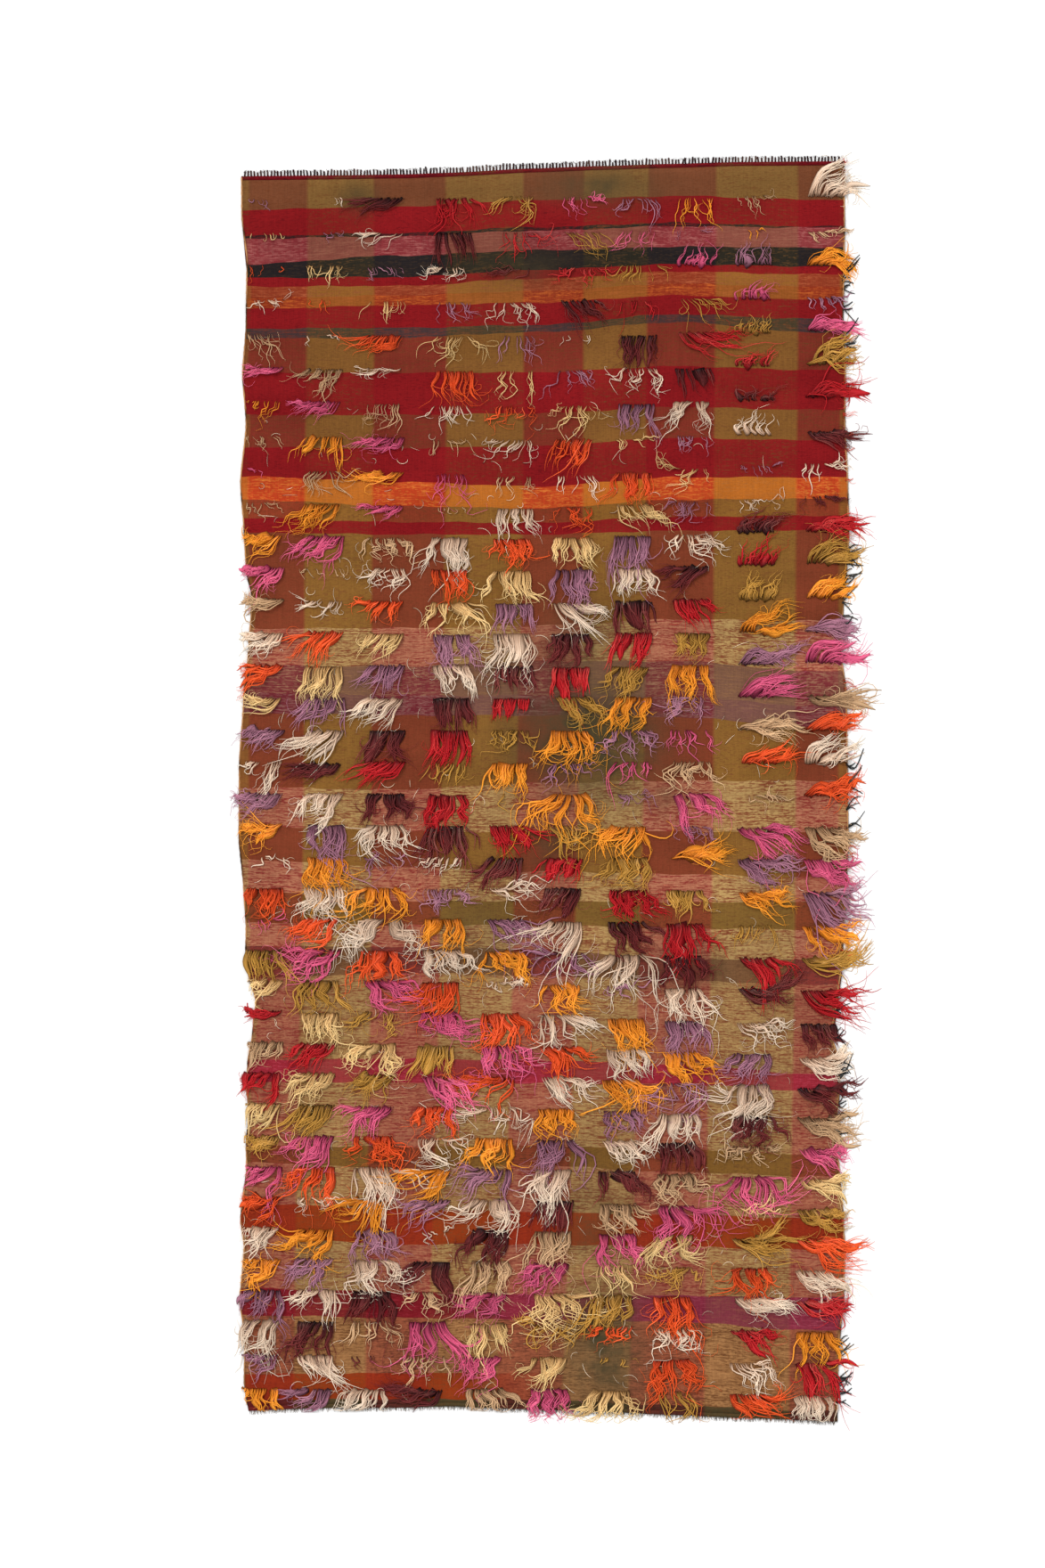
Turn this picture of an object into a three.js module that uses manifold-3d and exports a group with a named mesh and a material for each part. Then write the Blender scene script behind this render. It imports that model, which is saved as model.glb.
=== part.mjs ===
// A tufted kilim rug lying flat, pile side up, in millimetres.
// +X points to the right selvedge, +Y to the end with the warp loops and +Z up out of the pile.
// The origin is on the floor under the middle of the cloth.
import * as THREE from "three";
import { mergeVertices } from "three/addons/utils/BufferGeometryUtils.js";
import Module from "manifold-3d";

// Driving dimensions of the weave
const HALF_WIDTH = 750;
const HALF_LENGTH = 1552;
const CLOTH_THICKNESS = 2.5;
const STRIP_WIDTH = 10;
const PART_GAP = 0.3;

// Loops and cut ends of the warp
const YARN = 2.8;
const LEG_SPACING = 8.7;
const LOOP_RISE = 12;
const LOOP_THICKNESS = 2.4;
const END_RISE = 7;
const END_SPACING = 17;
const ROOT_DEPTH = 1.5;
const END_MARGIN = 12;
const SHOULDER_SHARE = 0.55;
const LOOP_UNEVENNESS = 0.15;
const END_UNEVENNESS = 0.35;
const END_SHIFT = 3;
const END_LEAN = 2;
const END_TIP_SHARE = 1 / 3;

// Tufts
const ROWS = 38;
const TUFT_WIDTH = 90;
const TUFT_LENGTH = 70;
const WORN_ROWS = 10;
const WORN_LENGTH = 42;
const RIDGE_HEIGHT = 9;
const WORN_RIDGE_HEIGHT = 5;
const RIDGE_AT = 0.2;
const FAN_SPREAD = 0.22;
const RAGGED = 0.14;
const VALLEY_AT = 0.62;
const TIPS = 3;
const WORN_TIPS = 2;
const TRIM_HEIGHT = 40;
const ROOT_WANDER_ACROSS = 5;
const ROOT_WANDER_UP = 3;
const LEAN_UNEVENNESS_DEG = 9;
const LENGTH_UNEVENNESS = 0.12;
const TIP_WANDER = 0.06;
const TIP_FAN = 1.12;
const RIDGE_UNEVENNESS = 0.25;

// Locks that lie on the floor past the edge
const LOCKS_PER_TUFT = 3;
const LOCK_REACH = 1.18;
const LOCK_FAN_DEG = 11;
const LOCK_WIDTH = 9;
const LOCK_TIP_WIDTH = 3;
const LOCK_HEIGHT = 5;
const LOCK_TIP_HEIGHT = 1.6;
const LEAST_OVERHANG = 9;
const LOCK_INSET = 18;
const LOCK_UNEVENNESS = 0.2;

// Rows whose tufts at the left selvedge reach past it
const LEFT_ROWS_PAST_EDGE = [11, 12, 13, 14, 16, 18, 25, 27, 35];

// Corners of the weave: no row of the tables is used this near to one
const CORNER_ACROSS = 30;
const CORNER_UP = 1;

// Which unevenness of a tuft, lock or yarn a number stands for
const SALT = {
  across: 1,
  up: 2,
  lean: 3,
  length: 4,
  tip: 10,
  ridge: 20,
  reach: 30,
  valley: 40,
  lockLean: 50,
  lockReach: 60,
  loopRise: 70,
  endShift: 80,
  endRise: 81,
  endLean: 82,
};
const SCATTER = { row: 12.9898, column: 78.233, salt: 37.719, gain: 43758.5453 };

const COLOURS = { cloth: 0x7a4a30, loops: 0x6a2420, ends: 0x3c3a30 };
const YARN_ROUGHNESS = 0.95;

// How far each selvedge bows out of its straight line, at distances up from the middle of the rug
const SELVEDGES = [
  { up: 1590, left: 6, right: 3 },
  { up: 1440, left: 5, right: 4 },
  { up: 1320, left: -8, right: 3 },
  { up: 1165, left: -6, right: 0 },
  { up: 1040, left: 3, right: 6 },
  { up: 915, left: -6, right: 5 },
  { up: 770, left: 8, right: 12 },
  { up: 640, left: -1, right: 15 },
  { up: 550, left: -6, right: 9 },
  { up: 480, left: -21, right: 2 },
  { up: 350, left: -12, right: -5 },
  { up: 235, left: 0, right: 9 },
  { up: 60, left: 11, right: 11 },
  { up: -120, left: 12, right: 13 },
  { up: -250, left: 0, right: 9 },
  { up: -345, left: -6, right: 2 },
  { up: -430, left: -4, right: -2 },
  { up: -530, left: -30, right: -15 },
  { up: -610, left: -22, right: -28 },
  { up: -680, left: -10, right: -11 },
  { up: -745, left: -6, right: -8 },
  { up: -810, left: -14, right: -16 },
  { up: -880, left: -6, right: -20 },
  { up: -945, left: -7, right: -9 },
  { up: -1075, left: 8, right: 1 },
  { up: -1145, left: -1, right: 4 },
  { up: -1280, left: 10, right: 2 },
  { up: -1370, left: -3, right: -9 },
  { up: -1480, left: -1, right: -13 },
  { up: -1620, left: -22, right: -14 },
];

// How far each end of the weave runs past its straight line, at distances across the rug
const ENDS = [
  { across: -790, top: -17, bottom: 4 },
  { across: -560, top: -15, bottom: -5 },
  { across: -350, top: -12, bottom: -6 },
  { across: -240, top: -8, bottom: -9 },
  { across: -20, top: 3, bottom: -1 },
  { across: 150, top: 9, bottom: 4 },
  { across: 310, top: 14, bottom: 12 },
  { across: 500, top: 19, bottom: 20 },
  { across: 790, top: 21, bottom: 31 },
];

// Middle of each column of tufts, at the top, middle and bottom rows, and the way its locks fall:
// degrees from straight down towards the right, in the worn rows, the middle rows and the last rows,
// and their length as a share of the usual one
const COLUMNS = [
  { top: -697, middle: -695, bottom: -706, worn: -34, full: -66, last: -48, length: 0.7 },
  { top: -550, middle: -544, bottom: -575, worn: -30, full: -36, last: -34, length: 1 },
  { top: -392, middle: -392, bottom: -439, worn: -20, full: -20, last: -18, length: 1 },
  { top: -222, middle: -236, bottom: -294, worn: 4, full: -6, last: -6, length: 1 },
  { top: -66, middle: -80, bottom: -149, worn: 0, full: 0, last: -4, length: 1 },
  { top: 94, middle: 65, bottom: 12, worn: 2, full: 2, last: 0, length: 1 },
  { top: 241, middle: 219, bottom: 172, worn: 4, full: 5, last: 2, length: 1 },
  { top: 380, middle: 366, bottom: 317, worn: 16, full: 14, last: 8, length: 1 },
  { top: 525, middle: 536, bottom: 509, worn: 168, full: 62, last: 14, length: 1 },
  { top: 703, middle: 699, bottom: 670, worn: 158, full: 84, last: 16, length: 1 },
];
const MIDDLE_ROW = 17;
const LAST_ROWS_FROM = 35;

// Height of the line of knots of some rows, at the left, middle and right of the rug
const ROW_LINES = [
  { row: 0, left: 1478, middle: 1482, right: 1482 },
  { row: 8, left: 802, middle: 784, right: 817 },
  { row: 17, left: 68, middle: 68, right: 68 },
  { row: 26, left: -632, middle: -643, right: -672 },
  { row: 35, left: -1328, middle: -1337, right: -1357 },
  { row: 37, left: -1500, middle: -1502, right: -1520 },
];

const wasm = await Module();
wasm.setup();

// A repeatable number from -1 to 1 for one tuft, lock or yarn.
function uneven(row, column, salt) {
  const mixed = row * SCATTER.row + column * SCATTER.column + salt * SCATTER.salt;
  const wave = Math.sin(mixed) * SCATTER.gain;
  return 2 * (wave - Math.floor(wave)) - 1;
}

// Value of one column of a table at a place along it, with a straight line between rows.
function along(table, key, column, at) {
  const rising = table[0][key] < table[table.length - 1][key];
  const rows = rising ? table : [...table].reverse();
  const next = Math.min(rows.length - 1, Math.max(1, rows.findIndex((r) => r[key] >= at)));
  const low = rows[next - 1];
  const high = rows[next];
  const share = (at - low[key]) / (high[key] - low[key]);
  return THREE.MathUtils.lerp(low[column], high[column], THREE.MathUtils.clamp(share, 0, 1));
}

const leftEdge = (up) => -HALF_WIDTH - along(SELVEDGES, "up", "left", up);
const rightEdge = (up) => HALF_WIDTH + along(SELVEDGES, "up", "right", up);
const topEdge = (across) => HALF_LENGTH + along(ENDS, "across", "top", across);
const bottomEdge = (across) => -HALF_LENGTH - along(ENDS, "across", "bottom", across);

// A closed mesh as a solid, with only its positions and its shared corners merged.
function solidOf(geometry) {
  const bare = geometry.clone();
  bare.deleteAttribute("normal");
  bare.deleteAttribute("uv");
  const merged = mergeVertices(bare);
  const mesh = new wasm.Mesh({
    numProp: 3,
    vertProperties: Float32Array.from(merged.attributes.position.array),
    triVerts: Uint32Array.from(merged.index.array),
  });
  return new wasm.Manifold(mesh);
}

// A solid as a geometry that three.js can draw.
function geometryOf(solid) {
  const mesh = solid.getMesh();
  const geometry = new THREE.BufferGeometry();
  geometry.setAttribute("position", new THREE.BufferAttribute(mesh.vertProperties, 3));
  geometry.setIndex(new THREE.BufferAttribute(mesh.triVerts, 1));
  geometry.computeVertexNormals();
  return geometry;
}

// All of a list of solids in one.
function joined(solids) {
  let round = solids;
  while (round.length > 1) {
    const next = [];
    for (let i = 0; i < round.length; i += 2) {
      next.push(i + 1 < round.length ? round[i].add(round[i + 1]) : round[i]);
    }
    round = next;
  }
  return round[0];
}

// A flat outline raised from one height to another.
function slab(points, bottom, top) {
  const geometry = new THREE.ExtrudeGeometry(new THREE.Shape(points), {
    depth: top - bottom,
    bevelEnabled: false,
  });
  geometry.translate(0, 0, bottom);
  return solidOf(geometry);
}

// Outline between two ends of the weave, given as functions of the distance across the rug.
function outline(lower, upper) {
  const points = [];
  const inside = HALF_WIDTH - CORNER_ACROSS;
  const acrossRows = ENDS.map((row) => row.across).filter((across) => Math.abs(across) < inside);
  const corner = (side, end) => {
    const guess = side(end(Math.sign(side(0)) * HALF_WIDTH));
    return new THREE.Vector2(guess, end(guess));
  };
  const lowLeft = corner(leftEdge, lower);
  const lowRight = corner(rightEdge, lower);
  const topRight = corner(rightEdge, upper);
  const topLeft = corner(leftEdge, upper);
  points.push(lowLeft);
  acrossRows.forEach((across) => points.push(new THREE.Vector2(across, lower(across))));
  points.push(lowRight);
  const rises = SELVEDGES.map((row) => row.up).reverse();
  rises
    .filter((up) => up > lowRight.y + CORNER_UP && up < topRight.y - CORNER_UP)
    .forEach((up) => points.push(new THREE.Vector2(rightEdge(up), up)));
  points.push(topRight);
  [...acrossRows].reverse().forEach((across) => points.push(new THREE.Vector2(across, upper(across))));
  points.push(topLeft);
  [...rises]
    .reverse()
    .filter((up) => up > lowLeft.y + CORNER_UP && up < topLeft.y - CORNER_UP)
    .forEach((up) => points.push(new THREE.Vector2(leftEdge(up), up)));
  return points;
}

// Middle of a tuft's line of knots.
function tuftRoot(row, column) {
  const c = COLUMNS[column];
  const below = row > MIDDLE_ROW;
  const share = below ? (row - MIDDLE_ROW) / (ROWS - 1 - MIDDLE_ROW) : row / MIDDLE_ROW;
  const x = below
    ? THREE.MathUtils.lerp(c.middle, c.bottom, share)
    : THREE.MathUtils.lerp(c.top, c.middle, share);
  const side = x < 0 ? "left" : "right";
  const middle = along(ROW_LINES, "row", "middle", row);
  const edge = along(ROW_LINES, "row", side, row);
  const y = THREE.MathUtils.lerp(middle, edge, Math.abs(x) / HALF_WIDTH);
  const across = ROOT_WANDER_ACROSS * uneven(row, column, SALT.across);
  const up = ROOT_WANDER_UP * uneven(row, column, SALT.up);
  return new THREE.Vector2(x + across, y + up);
}

// The way a tuft falls, in degrees from straight down towards the right.
function tuftLean(row, column) {
  const c = COLUMNS[column];
  const kind = row <= WORN_ROWS ? "worn" : row < LAST_ROWS_FROM ? "full" : "last";
  return c[kind] + LEAN_UNEVENNESS_DEG * uneven(row, column, SALT.lean);
}

// Unit vector of a lean.
function fall(lean) {
  const angle = THREE.MathUtils.degToRad(lean);
  return new THREE.Vector2(Math.sin(angle), -Math.cos(angle));
}

// How far a tuft reaches from its knots.
function tuftLength(row, column) {
  const usual = (row < WORN_ROWS ? WORN_LENGTH : TUFT_LENGTH) * COLUMNS[column].length;
  return usual * (1 + LENGTH_UNEVENNESS * uneven(row, column, SALT.length));
}

// One tuft as a low lump: a line of knots, a ridge just below it and ragged tips that thin out.
function tuftLump(row, column) {
  const root = tuftRoot(row, column);
  const down = fall(tuftLean(row, column));
  const length = tuftLength(row, column);
  const ridge = row < WORN_ROWS ? WORN_RIDGE_HEIGHT : RIDGE_HEIGHT;
  const at = (u, v, z) => {
    const spread = u * TUFT_WIDTH * (1 + FAN_SPREAD * v);
    return [root.x + spread + v * length * down.x, root.y + v * length * down.y, z];
  };
  const tips = row < WORN_ROWS ? WORN_TIPS : TIPS;
  const step = 1 / tips;
  const tipAt = (k) => -0.5 + step * (k + 0.5) + TIP_WANDER * uneven(row, column, SALT.tip + k);
  const surface = [at(-0.5, 0, CLOTH_THICKNESS), at(0.5, 0, CLOTH_THICKNESS)];
  const rim = [0, 1];
  const triangles = [];
  const ridgeIds = [];
  for (let k = 0; k < tips; k += 1) {
    const rise = ridge * (1 + RIDGE_UNEVENNESS * uneven(row, column, SALT.ridge + k));
    ridgeIds.push(surface.push(at(tipAt(k), RIDGE_AT, CLOTH_THICKNESS + rise)) - 1);
  }
  for (let k = tips - 1; k > 0; k -= 1) {
    triangles.push([1, ridgeIds[k], ridgeIds[k - 1]]);
  }
  triangles.push([0, 1, ridgeIds[0]]);
  let last = 1;
  for (let k = tips - 1; k >= 0; k -= 1) {
    const reach = 1 + RAGGED * uneven(row, column, SALT.reach + k);
    const tip = surface.push(at(tipAt(k) * TIP_FAN, reach, CLOTH_THICKNESS)) - 1;
    triangles.push([last, tip, ridgeIds[k]]);
    rim.push(tip);
    last = tip;
    if (k > 0) {
      const between = (tipAt(k) + tipAt(k - 1)) / 2;
      const cut = VALLEY_AT + RAGGED * uneven(row, column, SALT.valley + k);
      const valley = surface.push(at(between, cut, CLOTH_THICKNESS)) - 1;
      triangles.push([ridgeIds[k], tip, valley], [ridgeIds[k], valley, ridgeIds[k - 1]]);
      rim.push(valley);
      last = valley;
    }
  }
  triangles.push([ridgeIds[0], last, 0]);
  return lumpSolid(surface, rim, triangles);
}

// A lump's upper surface closed by a skirt and a floor inside the cloth.
function lumpSolid(surface, rim, triangles) {
  const floor = CLOTH_THICKNESS / 2;
  const corners = surface.map((p) => [...p]);
  const low = rim.map((id) => corners.push([surface[id][0], surface[id][1], floor]) - 1);
  const flat = rim.map((id) => new THREE.Vector2(surface[id][0], surface[id][1]));
  const faces = [...triangles];
  rim.forEach((id, i) => {
    const j = (i + 1) % rim.length;
    faces.push([low[i], low[j], rim[j]], [low[i], rim[j], id]);
  });
  const clockwise = THREE.ShapeUtils.isClockWise(flat);
  THREE.ShapeUtils.triangulateShape(flat, []).forEach(([a, b, c]) => {
    const [p, q, r] = [flat[a], flat[b], flat[c]];
    const turned = (q.x - p.x) * (r.y - p.y) - (q.y - p.y) * (r.x - p.x) < 0;
    faces.push(turned === clockwise ? [low[a], low[c], low[b]] : [low[a], low[b], low[c]]);
  });
  const geometry = new THREE.BufferGeometry();
  geometry.setAttribute("position", new THREE.Float32BufferAttribute(corners.flat(), 3));
  geometry.setIndex(faces.flatMap(([a, b, c]) => (clockwise ? [a, c, b] : [a, b, c])));
  return solidOf(geometry);
}

// A tapered lock of three sides lying level on the floor.
function floorLock(start, end) {
  const way = end.clone().sub(start).normalize();
  const side = new THREE.Vector2(-way.y, way.x);
  const section = (at, width, height) => {
    const a = at.clone().addScaledVector(side, width / 2);
    const b = at.clone().addScaledVector(side, -width / 2);
    return [[a.x, a.y, 0], [b.x, b.y, 0], [at.x, at.y, height]];
  };
  const corners = [
    ...section(start, LOCK_WIDTH, LOCK_HEIGHT),
    ...section(end, LOCK_TIP_WIDTH, LOCK_TIP_HEIGHT),
  ];
  const faces = [
    [0, 1, 2], [3, 5, 4],
    [0, 3, 4], [0, 4, 1],
    [1, 4, 5], [1, 5, 2],
    [2, 5, 3], [2, 3, 0],
  ];
  const geometry = new THREE.BufferGeometry();
  geometry.setAttribute("position", new THREE.Float32BufferAttribute(corners.flat(), 3));
  geometry.setIndex(faces.flat());
  return solidOf(geometry);
}

// Locks of the tufts at the rim that pass the edge of the cloth.
function rimLocks() {
  const locks = [];
  for (let row = 0; row < ROWS; row += 1) {
    const sides = LEFT_ROWS_PAST_EDGE.includes(row) ? [0, COLUMNS.length - 1] : [COLUMNS.length - 1];
    sides.forEach((column) => {
      const root = tuftRoot(row, column);
      for (let k = 0; k < LOCKS_PER_TUFT; k += 1) {
        const u = (k + 0.5) / LOCKS_PER_TUFT - 0.5;
        const lean = tuftLean(row, column) + LOCK_FAN_DEG * uneven(row, column, SALT.lockLean + k);
        const extra = LOCK_REACH * (1 + LOCK_UNEVENNESS * uneven(row, column, SALT.lockReach + k));
        const reach = tuftLength(row, column) * extra;
        const low = leftEdge(root.y) + LOCK_INSET;
        const high = rightEdge(root.y) - LOCK_INSET;
        const knot = new THREE.Vector2(THREE.MathUtils.clamp(root.x + u * TUFT_WIDTH, low, high), root.y);
        const tip = knot.clone().addScaledVector(fall(lean), reach);
        const past = Math.max(tip.x - rightEdge(tip.y), leftEdge(tip.y) - tip.x);
        if (past < LEAST_OVERHANG) {
          continue;
        }
        const inside = Math.min(reach, (past + LOCK_INSET) / Math.abs(fall(lean).x));
        locks.push(floorLock(tip.clone().addScaledVector(fall(lean), -inside), tip));
      }
    });
  }
  return locks;
}

// The woven cloth with its tufts, and the locks that reach past its edges.
function clothSolid() {
  const lower = (across) => bottomEdge(across) + STRIP_WIDTH + PART_GAP;
  const upper = (across) => topEdge(across) - STRIP_WIDTH - PART_GAP;
  const edge = outline(lower, upper);
  const lumps = [];
  for (let row = 0; row < ROWS; row += 1) {
    for (let column = 0; column < COLUMNS.length; column += 1) {
      lumps.push(tuftLump(row, column));
    }
  }
  const pile = joined(lumps).intersect(slab(edge, 0, TRIM_HEIGHT));
  return joined([slab(edge, 0, CLOTH_THICKNESS), pile, ...rimLocks()]);
}

// One uncut loop of warp: two legs and a rounded top, lying on the floor.
function warpLoop(x, base, rise) {
  const outer = LEG_SPACING / 2 + YARN / 2;
  const inner = LEG_SPACING / 2 - YARN / 2;
  const shoulder = outer * SHOULDER_SHARE;
  const points = [
    [-outer, -ROOT_DEPTH], [-inner, -ROOT_DEPTH], [0, rise - YARN], [inner, -ROOT_DEPTH],
    [outer, -ROOT_DEPTH], [outer, rise - shoulder], [0, rise], [-outer, rise - shoulder],
  ];
  const placed = points.map(([u, v]) => new THREE.Vector2(x + u, base + v));
  return slab(placed, 0, LOOP_THICKNESS);
}

// The header at the top with its row of uncut warp loops.
function loopStrip() {
  const lower = (across) => topEdge(across) - STRIP_WIDTH;
  const header = slab(outline(lower, topEdge), 0, CLOTH_THICKNESS);
  const loops = [];
  const from = leftEdge(HALF_LENGTH) + END_MARGIN;
  const to = rightEdge(HALF_LENGTH) - END_MARGIN;
  const count = Math.floor((to - from) / (2 * LEG_SPACING));
  for (let i = 0; i < count; i += 1) {
    const x = from + LEG_SPACING + i * 2 * LEG_SPACING;
    const rise = LOOP_RISE * (1 + LOOP_UNEVENNESS * uneven(i, 0, SALT.loopRise));
    loops.push(warpLoop(x, topEdge(x), rise));
  }
  return joined([header, ...loops]);
}

// The last picks at the bottom with the cut ends of the warp.
function endStrip() {
  const upper = (across) => bottomEdge(across) + STRIP_WIDTH;
  const strip = slab(outline(bottomEdge, upper), 0, CLOTH_THICKNESS);
  const ends = [];
  const from = leftEdge(-HALF_LENGTH) + END_MARGIN;
  const to = rightEdge(-HALF_LENGTH) - END_MARGIN;
  const count = Math.floor((to - from) / END_SPACING);
  for (let i = 0; i <= count; i += 1) {
    const x = from + i * END_SPACING + END_SHIFT * uneven(i, 0, SALT.endShift);
    const rise = END_RISE * (1 + END_UNEVENNESS * uneven(i, 0, SALT.endRise));
    const base = bottomEdge(x);
    const lean = END_LEAN * uneven(i, 0, SALT.endLean);
    const tip = YARN * END_TIP_SHARE;
    const points = [
      [-YARN / 2, ROOT_DEPTH], [YARN / 2, ROOT_DEPTH],
      [lean + tip, -rise], [lean - tip, -rise],
    ].map(([u, v]) => new THREE.Vector2(x + u, base + v));
    ends.push(slab(points, 0, LOOP_THICKNESS));
  }
  return joined([strip, ...ends]);
}

// A named mesh of one piece in the colour of its yarn.
function piece(name, solid, color) {
  const material = new THREE.MeshStandardMaterial({ color, roughness: YARN_ROUGHNESS, metalness: 0 });
  const mesh = new THREE.Mesh(geometryOf(solid), material);
  mesh.name = name;
  return mesh;
}

const rug = new THREE.Group();
rug.add(piece("kilim_cloth", clothSolid(), COLOURS.cloth));
rug.add(piece("warp_loops_top", loopStrip(), COLOURS.loops));
rug.add(piece("warp_ends_bottom", endStrip(), COLOURS.ends));

export default rug;
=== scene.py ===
"""A tufted kilim rug lying flat: plaid ground, knotted mohair tufts, warp loops and cut warp ends."""

import logging
import math
from dataclasses import dataclass, field, replace
from enum import Enum

import bmesh
import bpy
import numpy as np
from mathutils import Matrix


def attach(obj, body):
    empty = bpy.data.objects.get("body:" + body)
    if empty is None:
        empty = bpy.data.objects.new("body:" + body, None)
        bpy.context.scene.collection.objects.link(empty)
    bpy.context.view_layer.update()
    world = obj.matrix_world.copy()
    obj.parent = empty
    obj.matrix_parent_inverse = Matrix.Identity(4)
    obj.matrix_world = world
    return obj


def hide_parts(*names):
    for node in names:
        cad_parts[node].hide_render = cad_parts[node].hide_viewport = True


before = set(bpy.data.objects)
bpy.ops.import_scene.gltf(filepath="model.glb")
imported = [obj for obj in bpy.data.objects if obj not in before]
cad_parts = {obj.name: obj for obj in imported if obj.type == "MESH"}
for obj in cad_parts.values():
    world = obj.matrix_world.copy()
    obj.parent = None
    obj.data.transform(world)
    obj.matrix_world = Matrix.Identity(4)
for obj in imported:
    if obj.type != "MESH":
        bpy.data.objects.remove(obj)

LOG = logging.getLogger("kilim")
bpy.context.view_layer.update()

# Driving sizes of the rug, in metres
HALF_WIDTH = 0.750
HALF_LENGTH = 1.552
CLOTH_THICKNESS = 0.0024
STRIP_WIDTH = 0.010
PART_GAP = 0.0003
ROWS = 38
MILLIMETRE = 0.001

# How the cloth lies on the floor
LEAST_LIFT = 0.0004
RIPPLE = 0.0011
CLEAR_OF_FLOOR = 0.0003

Colour = tuple[float, float, float]

# How far each selvedge bows out of its straight line, in millimetres: (up from the middle, left, right)
SELVEDGES = [
    (1590, 6, 3), (1440, 5, 4), (1320, -8, 3), (1165, -6, 0), (1040, 3, 6), (915, -6, 5), (770, 8, 12),
    (640, -1, 15), (550, -6, 9), (480, -21, 2), (350, -12, -5), (235, 0, 9), (60, 11, 11), (-120, 12, 13),
    (-250, 0, 9), (-345, -6, 2), (-430, -4, -2), (-530, -30, -15), (-610, -22, -28), (-680, -10, -11),
    (-745, -6, -8), (-810, -14, -16), (-880, -6, -20), (-945, -7, -9), (-1075, 8, 1), (-1145, -1, 4),
    (-1280, 10, 2), (-1370, -3, -9), (-1480, -1, -13), (-1620, -22, -14),
]

# How far each end runs past its straight line, in millimetres: (across, top, bottom)
ENDS = [
    (-790, -17, 4), (-560, -15, -5), (-350, -12, -6), (-240, -8, -9), (-20, 3, -1), (150, 9, 4),
    (310, 14, 12), (500, 19, 20), (790, 21, 31),
]


def linear(red: float, green: float, blue: float) -> Colour:
    """A colour as the eye reads it, from 0 to 255, as the linear values that a shader takes.

    Args:
        red: How much red it has.
        green: How much green it has.
        blue: How much blue it has.

    Returns:
        The three linear values.
    """
    shares = (c / 255 for c in (red, green, blue))
    return tuple(c / 12.92 if c < 0.0404 else ((c + 0.055) / 1.055) ** 2.4 for c in shares)


@dataclass(frozen=True)
class WeftLook:
    """How one weft looks over the olive warps and the red ones, and its flecks. Colours go from 0 to 255."""

    over_olive: Colour
    over_red: Colour
    fleck: Colour
    melange: float
    streak: float

    def numbers(self) -> list[float]:
        """All of its values in one row."""
        colours = (self.over_olive, self.over_red, self.fleck)
        return [*(share for colour in colours for share in linear(*colour)), self.melange, self.streak]


class Weft(Enum):
    """The dyed wefts of the ground."""

    TOP_OLIVE = WeftLook((126, 84, 40), (122, 46, 34), (104, 56, 32), 0.2, 0.3)
    FIRST_OLIVE = WeftLook((126, 91, 48), (114, 66, 42), (104, 56, 32), 0.2, 0.3)
    OLIVE = WeftLook((132, 92, 42), (124, 58, 37), (112, 56, 34), 0.2, 0.4)
    RED = WeftLook((131, 29, 28), (132, 23, 27), (104, 16, 22), 0.14, 0.25)
    BLACK_LINE = WeftLook((46, 42, 34), (52, 30, 30), (112, 26, 28), 0.3, 0.3)
    PINK = WeftLook((128, 70, 58), (128, 46, 50), (156, 88, 84), 0.3, 0.4)
    BLACK = WeftLook((43, 39, 31), (36, 31, 32), (58, 44, 34), 0.2, 0.3)
    OCHRE = WeftLook((144, 92, 40), (138, 54, 32), (164, 84, 52), 0.3, 0.4)
    OCHRE_BROWN = WeftLook((146, 82, 34), (142, 50, 28), (186, 92, 40), 0.3, 0.4)
    GREY_GREEN = WeftLook((72, 60, 42), (68, 50, 50), (104, 50, 40), 0.3, 0.35)
    ORANGE = WeftLook((183, 103, 36), (182, 62, 30), (208, 118, 50), 0.25, 0.35)
    OLIVE_BROWN = WeftLook((136, 92, 40), (134, 56, 35), (110, 56, 32), 0.2, 0.35)
    MELANGE = WeftLook((180, 146, 92), (176, 114, 86), (130, 48, 42), 0.42, 0.45)
    MAUVE = WeftLook((118, 82, 64), (116, 46, 49), (146, 104, 80), 0.3, 0.4)
    PURPLE = WeftLook((114, 74, 66), (110, 40, 47), (138, 94, 86), 0.3, 0.4)
    DARK_OLIVE = WeftLook((122, 90, 42), (128, 62, 38), (90, 50, 30), 0.2, 0.35)
    GREY_MAUVE = WeftLook((119, 82, 53), (126, 53, 45), (80, 44, 42), 0.25, 0.4)
    BEIGE = WeftLook((168, 134, 84), (164, 102, 76), (124, 48, 42), 0.4, 0.6)
    CRIMSON = WeftLook((144, 52, 52), (146, 38, 50), (170, 60, 76), 0.2, 0.35)
    DARK_BROWN = WeftLook((120, 84, 38), (124, 58, 37), (74, 42, 28), 0.2, 0.35)
    RUST = WeftLook((140, 54, 21), (142, 46, 24), (120, 36, 22), 0.2, 0.35)
    PLUM = WeftLook((124, 52, 62), (126, 40, 58), (148, 64, 80), 0.25, 0.35)
    DEEP_RED = WeftLook((120, 34, 36), (118, 24, 32), (140, 40, 50), 0.2, 0.35)
    STREAKED = WeftLook((166, 118, 74), (158, 88, 61), (100, 54, 38), 0.4, 0.7)
    LAST_BAND = WeftLook((78, 66, 42), (92, 44, 36), (52, 40, 32), 0.25, 0.35)
    HEADER = WeftLook((106, 22, 28), (112, 18, 25), (70, 14, 20), 0.3, 0.35)


@dataclass(frozen=True)
class Stripe:
    """One weft stripe, with the height of its lower edge in millimetres at five places across the rug."""

    weft: Weft
    lower: tuple[int, int, int, int, int]
    turns_to: Weft | None = None
    turn: float = 0.5


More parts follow.
